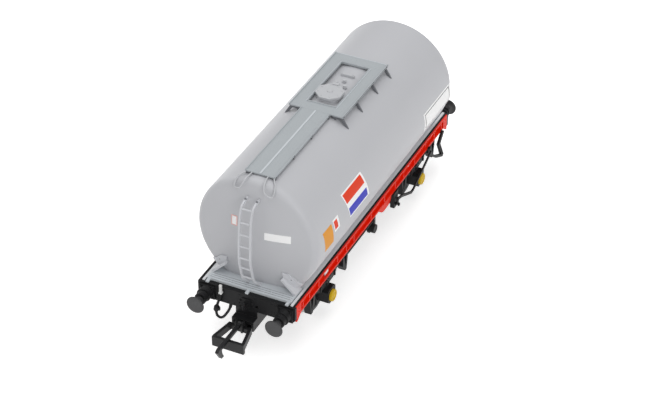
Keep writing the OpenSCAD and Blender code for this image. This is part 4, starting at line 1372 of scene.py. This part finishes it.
@dataclass
class RunningGear:
    """Guards, axleboxes, springs and wheelsets."""

    shop: Workshop
    axle_x: float = 30
    axle_z: float = 6.95
    tyre_width: float = 2.8
    hub: float = 2.1

    def corners(self) -> list[tuple[int, int]]:
        """The four axleboxes, as the signs of their x and y."""
        return [(end, side) for end in SIDES for side in SIDES]

    def build(self) -> None:
        """Adds everything between the solebars and the rails."""
        shop = self.shop
        shop.round_off(Coat.FRAME, 0.06, "axleguards")
        shop.round_off(Coat.FRAME, 0.1, "axleboxes")
        shop.round_off(Coat.FRAME, 0.07, "spring_hangers")
        shop.round_off(Coat.FRAME, 0.04, "leaf_springs")
        self.springs()
        self.caps()
        self.box_bolts()
        for end, side in ENDS:
            self.wheelset(end, side)

    def springs(self) -> None:
        """An eye at each end of the leaves, two clips round them, and the bolts of their strap."""
        low, high = extent("leaf_springs")
        outer = abs(low.y)
        eye_x, eye_z = high.x - self.axle_x - 0.25, high.z - 0.45
        parts = []
        for end, side in self.corners():
            axle = end * self.axle_x
            left, right = sorted((side * (outer + 0.12), side * (outer - 1.9)))
            for turn in SIDES:
                eye = (axle + turn * eye_x, 0, eye_z)
                clip = axle + turn * 4.3
                parts.append(revolved([(0.42, left), (0.42, right)], eye, (0, 1, 0), 20))
                parts.append(blocks([[clip - 0.3, left, low.z + 0.25]], [[clip + 0.3, right, low.z + 2.05]]))
            bolts = [[axle + u * 0.5, side * (outer + 0.02), low.z + v] for u in SIDES for v in (0.6, 1.7)]
            parts.append(studs(bolts, (0, side, 0), 0.4, 0.18, 6))
        self.shop.add(parts, "spring_eyes", Coat.FRAME, 0.03)

    def caps(self) -> None:
        """Round caps with a raised rim and a centre boss."""
        low, high = extent("axlebox_caps")
        radius, face = high.x - self.axle_x, abs(low.y)
        profile = [(radius, face - 0.9), (radius, face - 0.3), (radius - 0.12, face - 0.1),
                   (radius - 0.35, face - 0.02), (radius - 0.6, face - 0.05), (radius - 0.75, face - 0.22),
                   (0.75, face - 0.22), (0.6, face - 0.08), (0.3, face - 0.02)]
        parts = [revolved(profile, (end * self.axle_x, 0, self.axle_z), (0, side, 0), 48)
                 for end, side in self.corners()]
        self.shop.add(parts, "axlebox_discs", Coat.YELLOW, replaces=["axlebox_caps"])

    def box_bolts(self) -> None:
        """A bolt near each corner of every axlebox, and keeps under the guards."""
        face, foot = abs(extent("axleboxes")[0].y), extent("axleguards")[0].z
        parts = []
        for end, side in self.corners():
            axle = end * self.axle_x
            places = [[axle + u * 1.75, side * (face - 0.5), self.axle_z + v]
                      for u in SIDES for v in (-1.0, 1.6)]
            parts.append(studs(places, (0, side, 0), 0.6, 0.2, 6))
            left, right = sorted((side * (face - 3.7), side * (face - 4.5)))
            parts.append(blocks([[axle - 3.0, left - 0.1, foot - 0.15]],
                                [[axle + 3.0, right + 0.1, foot + 0.45]]))
        self.shop.add(parts, "axlebox_bolts", Coat.FRAME, 0.03)

    def wheelset(self, end: str, side: int) -> None:
        """A turned axle and its two disc wheels with dished webs.

        Args:
            end: Which end of the wagon.
            side: Sign of that end's x.
        """
        shop = self.shop
        shop.dress(f"axle_{end}", Coat.AXLE)
        low, high = extent(f"wheels_{end}")
        flange, face = (high.x - low.x) / 2, high.y - 0.2
        tread, back = flange - RAIL_TOP, face - self.tyre_width
        rim, hub, bore = tread - 1.0, self.hub, 1.02
        profile = [
            (bore, back), (hub, back), (hub + 0.25, back + 0.55), (rim - 0.25, back + 0.62),
            (rim - 0.02, back + 0.05), (flange - 0.32, back), (flange - 0.1, back + 0.1),
            (flange, back + 0.3), (flange - 0.08, back + 0.55), (flange - 0.4, back + 0.72),
            (tread + 0.12, back + 0.86),
            (tread, back + 1.1), (tread - 0.05, face - 0.15), (tread - 0.2, face), (rim, face),
            (rim - 0.12, face - 0.12), (rim - 0.3, face - 0.85), (rim - 0.6, face - 1.0),
            (hub + 0.5, face - 0.8), (hub + 0.1, face - 0.5), (hub, face + 0.1), (hub - 0.12, high.y),
            (bore, high.y),
        ]
        parts = [revolved(profile, (side * self.axle_x, 0, self.axle_z), (0, y, 0), 128) for y in SIDES]
        shop.add(parts, f"wheel_discs_{end}", Coat.WHEEL, replaces=[f"wheels_{end}"],
                 body=f"wheelset_{end}")


@dataclass
class BrakeGear:
    """Rods, shaft, levers, cylinder, reservoir and the bottom outlet."""

    shop: Workshop

    def build(self) -> None:
        """Adds the brake gear and the outlet."""
        rounded = {"brake_blocks": 0.08, "shaft_hangers": 0.07, "hand_brake_lever_left": 0.1,
                   "hand_brake_lever_right": 0.1, "lever_guides": 0.08, "brake_cylinder": 0.1,
                   "air_reservoir": 0.1, "discharge_pipe": 0.08, "brake_shaft": 0.05, "brake_rods": 0.0}
        for node, edge in rounded.items():
            self.shop.round_off(Coat.FRAME, edge, node)
        self.lever_pins()
        self.outlet_nuts()
        self.guide_pins()

    def lever_pins(self) -> None:
        """A nut on each end of the cross shaft and a pin where each lever starts."""
        high = extent("brake_shaft")[1]
        x, z, face = high.x - 0.5, high.z - 0.5, abs(extent("hand_brake_lever_right")[0].y)
        nuts = side_studs([[x, face, z]], 1.1, 0.35, 6)
        pins = side_studs([[x - 0.4, face, z + 1.9]], 0.6, 0.22, 10)
        self.shop.add([nuts, pins], "lever_pins", Coat.FRAME)

    def guide_pins(self) -> None:
        """A row of pin heads down the face of each lever guide."""
        face = abs(extent("lever_guides")[0].y)
        top, foot = np.array([43.3, face, 10.7]), np.array([45.9, face, 5.7])
        line = top + (foot - top) * np.linspace(0.05, 0.95, 7)[:, None]
        self.shop.add(side_studs(line, 0.36, 0.16, 8), "guide_pins", Coat.FRAME)

    def outlet_nuts(self) -> None:
        """Six nuts round the cap of each outlet branch."""
        low, high = extent("discharge_pipe")
        centre = [(low.x + high.x) / 2, high.y - 1.5, low.z + 1.55]
        turn = TURN / 6 * np.arange(6)
        ring = centre + 1.4 * np.stack([np.cos(turn), 0 * turn, np.sin(turn)], -1)
        self.shop.add(side_studs(ring, 0.3, 0.2, 6), "outlet_nuts", Coat.FRAME)


@dataclass
class Couplings:
    """Pockets under the headstocks, and the hooked couplings that swing in them."""

    shop: Workshop

    def build(self) -> None:
        """Adds both couplings."""
        for end, _ in ENDS:
            self.shop.round_off(Coat.COUPLING, 0.12, f"coupling_pocket_{end}", f"coupling_head_{end}")
            self.shop.round_off(Coat.COUPLING, 0.1, f"coupling_hook_{end}")


# ---------------------------------------------------------------- studio


@dataclass
class Studio:
    """White floor, soft lamps and the camera."""

    camera_at: Triple = (-0.400311, -0.189755, 0.332411)
    look_at: Triple = (0.0, 0.0, 0.013769)
    roll: float = math.radians(0.129)
    lens: float = 109.05
    shift: tuple[float, float] = (-0.01243, -0.00055)
    half_floor: float = 3.0
    floor_grey: float = 0.86
    floor_glow: float = 0.56
    surround: float = 0.47

    LAMPS = (
        ("overhead", (0.05, 0.05, 0.95), 1.1, 4.6),
        ("window", (-0.70, -0.80, 0.50), 0.5, 3.0),
        ("back_rim", (0.35, 0.85, 0.55), 0.4, 1.2),
    )

    def build(self) -> None:
        """Adds the floor, the world, the lamps and the camera."""
        self.floor()
        self.world()
        for lamp in self.LAMPS:
            self.lamp(*lamp)
        self.camera()
        bpy.context.scene.view_settings.view_transform = "Standard"

    def floor(self) -> None:
        """A flat pale floor that keeps the object's shadow and is lifted to white in the picture."""
        half = self.half_floor
        corners = [(-half, -half, 0), (half, -half, 0), (half, half, 0), (-half, half, 0)]
        mesh = bpy.data.meshes.new("studio_floor")
        mesh.from_pydata(corners, [], [(0, 1, 2, 3)])
        graph = Graph("studio_floor_white")
        matte = graph.node("ShaderNodeBsdfDiffuse", inputs={"Color": rgba((self.floor_grey,) * 3)})
        white = {"Color": rgba((1, 1, 1)), "Strength": self.floor_glow}
        glow = graph.node("ShaderNodeEmission", inputs=white)
        lifted = graph.node("ShaderNodeAddShader", inputs={0: matte, 1: glow})
        paths = graph.node("ShaderNodeLightPath").socket.node.outputs
        seen = Signal(graph, paths["Is Camera Ray"]) + Signal(graph, paths["Is Glossy Ray"])
        share = seen.math("MINIMUM", seen, 1.0)
        shader = graph.node("ShaderNodeMixShader", inputs={0: share, 1: matte, 2: lifted})
        graph.node("ShaderNodeOutputMaterial", inputs={"Surface": shader})
        mesh.materials.append(graph.material)
        floor = bpy.data.objects.new("studio_floor", mesh)
        bpy.context.scene.collection.objects.link(floor)

    def world(self) -> None:
        """An even white surround, brighter to the eye than as a light."""
        world = bpy.data.worlds.new("studio_surround")
        bpy.context.scene.world = world
        world.use_nodes = True
        nodes, links = world.node_tree.nodes, world.node_tree.links
        nodes.clear()
        paths = nodes.new("ShaderNodeLightPath")
        strength = nodes.new("ShaderNodeMapRange")
        strength.inputs["To Min"].default_value = self.surround
        strength.inputs["To Max"].default_value = 1.0
        links.new(paths.outputs["Is Camera Ray"], strength.inputs["Value"])
        ground = nodes.new("ShaderNodeBackground")
        ground.inputs["Color"].default_value = (1, 1, 1, 1)
        links.new(strength.outputs[0], ground.inputs["Strength"])
        links.new(ground.outputs[0], nodes.new("ShaderNodeOutputWorld").inputs["Surface"])

    def lamp(self, name: str, place: Triple, size: float, power: float) -> None:
        """A square soft lamp aimed at the wagon.

        Args:
            name: Its name.
            place: Where it is, in metres.
            size: Length of its side.
            power: Its power in watts.
        """
        data = bpy.data.lights.new(name, "AREA")
        data.size = size
        data.energy = power
        lamp = bpy.data.objects.new(name, data)
        lamp.location = place
        lamp.rotation_euler = (Vector((0, 0, 0.02)) - Vector(place)).to_track_quat("-Z", "Y").to_euler()
        bpy.context.scene.collection.objects.link(lamp)

    def camera(self) -> None:
        """A long lens from above the ladder end."""
        data = bpy.data.cameras.new("studio_camera")
        data.sensor_width = 36
        data.lens = self.lens
        data.shift_x, data.shift_y = self.shift
        data.clip_start = 0.01
        data.clip_end = 20
        camera = bpy.data.objects.new("studio_camera", data)
        aim = (Vector(self.look_at) - Vector(self.camera_at)).to_track_quat("-Z", "Y")
        camera.rotation_mode = "QUATERNION"
        camera.rotation_quaternion = aim @ Quaternion((0, 0, 1), self.roll)
        camera.location = self.camera_at
        bpy.context.scene.collection.objects.link(camera)
        bpy.context.scene.camera = camera


def main() -> None:
    """Builds the wagon's looks in order."""
    logging.basicConfig(level=logging.INFO, format="%(message)s")
    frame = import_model()
    Studio().build()
    shop = Workshop(frame)
    tank = Tank(shop)
    for assembly in (tank, Markings(shop, tank)):
        assembly.build()
    for kind in (Walkway, LadderEnd, Underframe, Buffers, EndFittings, RunningGear, BrakeGear, Couplings):
        kind(shop).build()


if __name__ == "__main__":
    main()
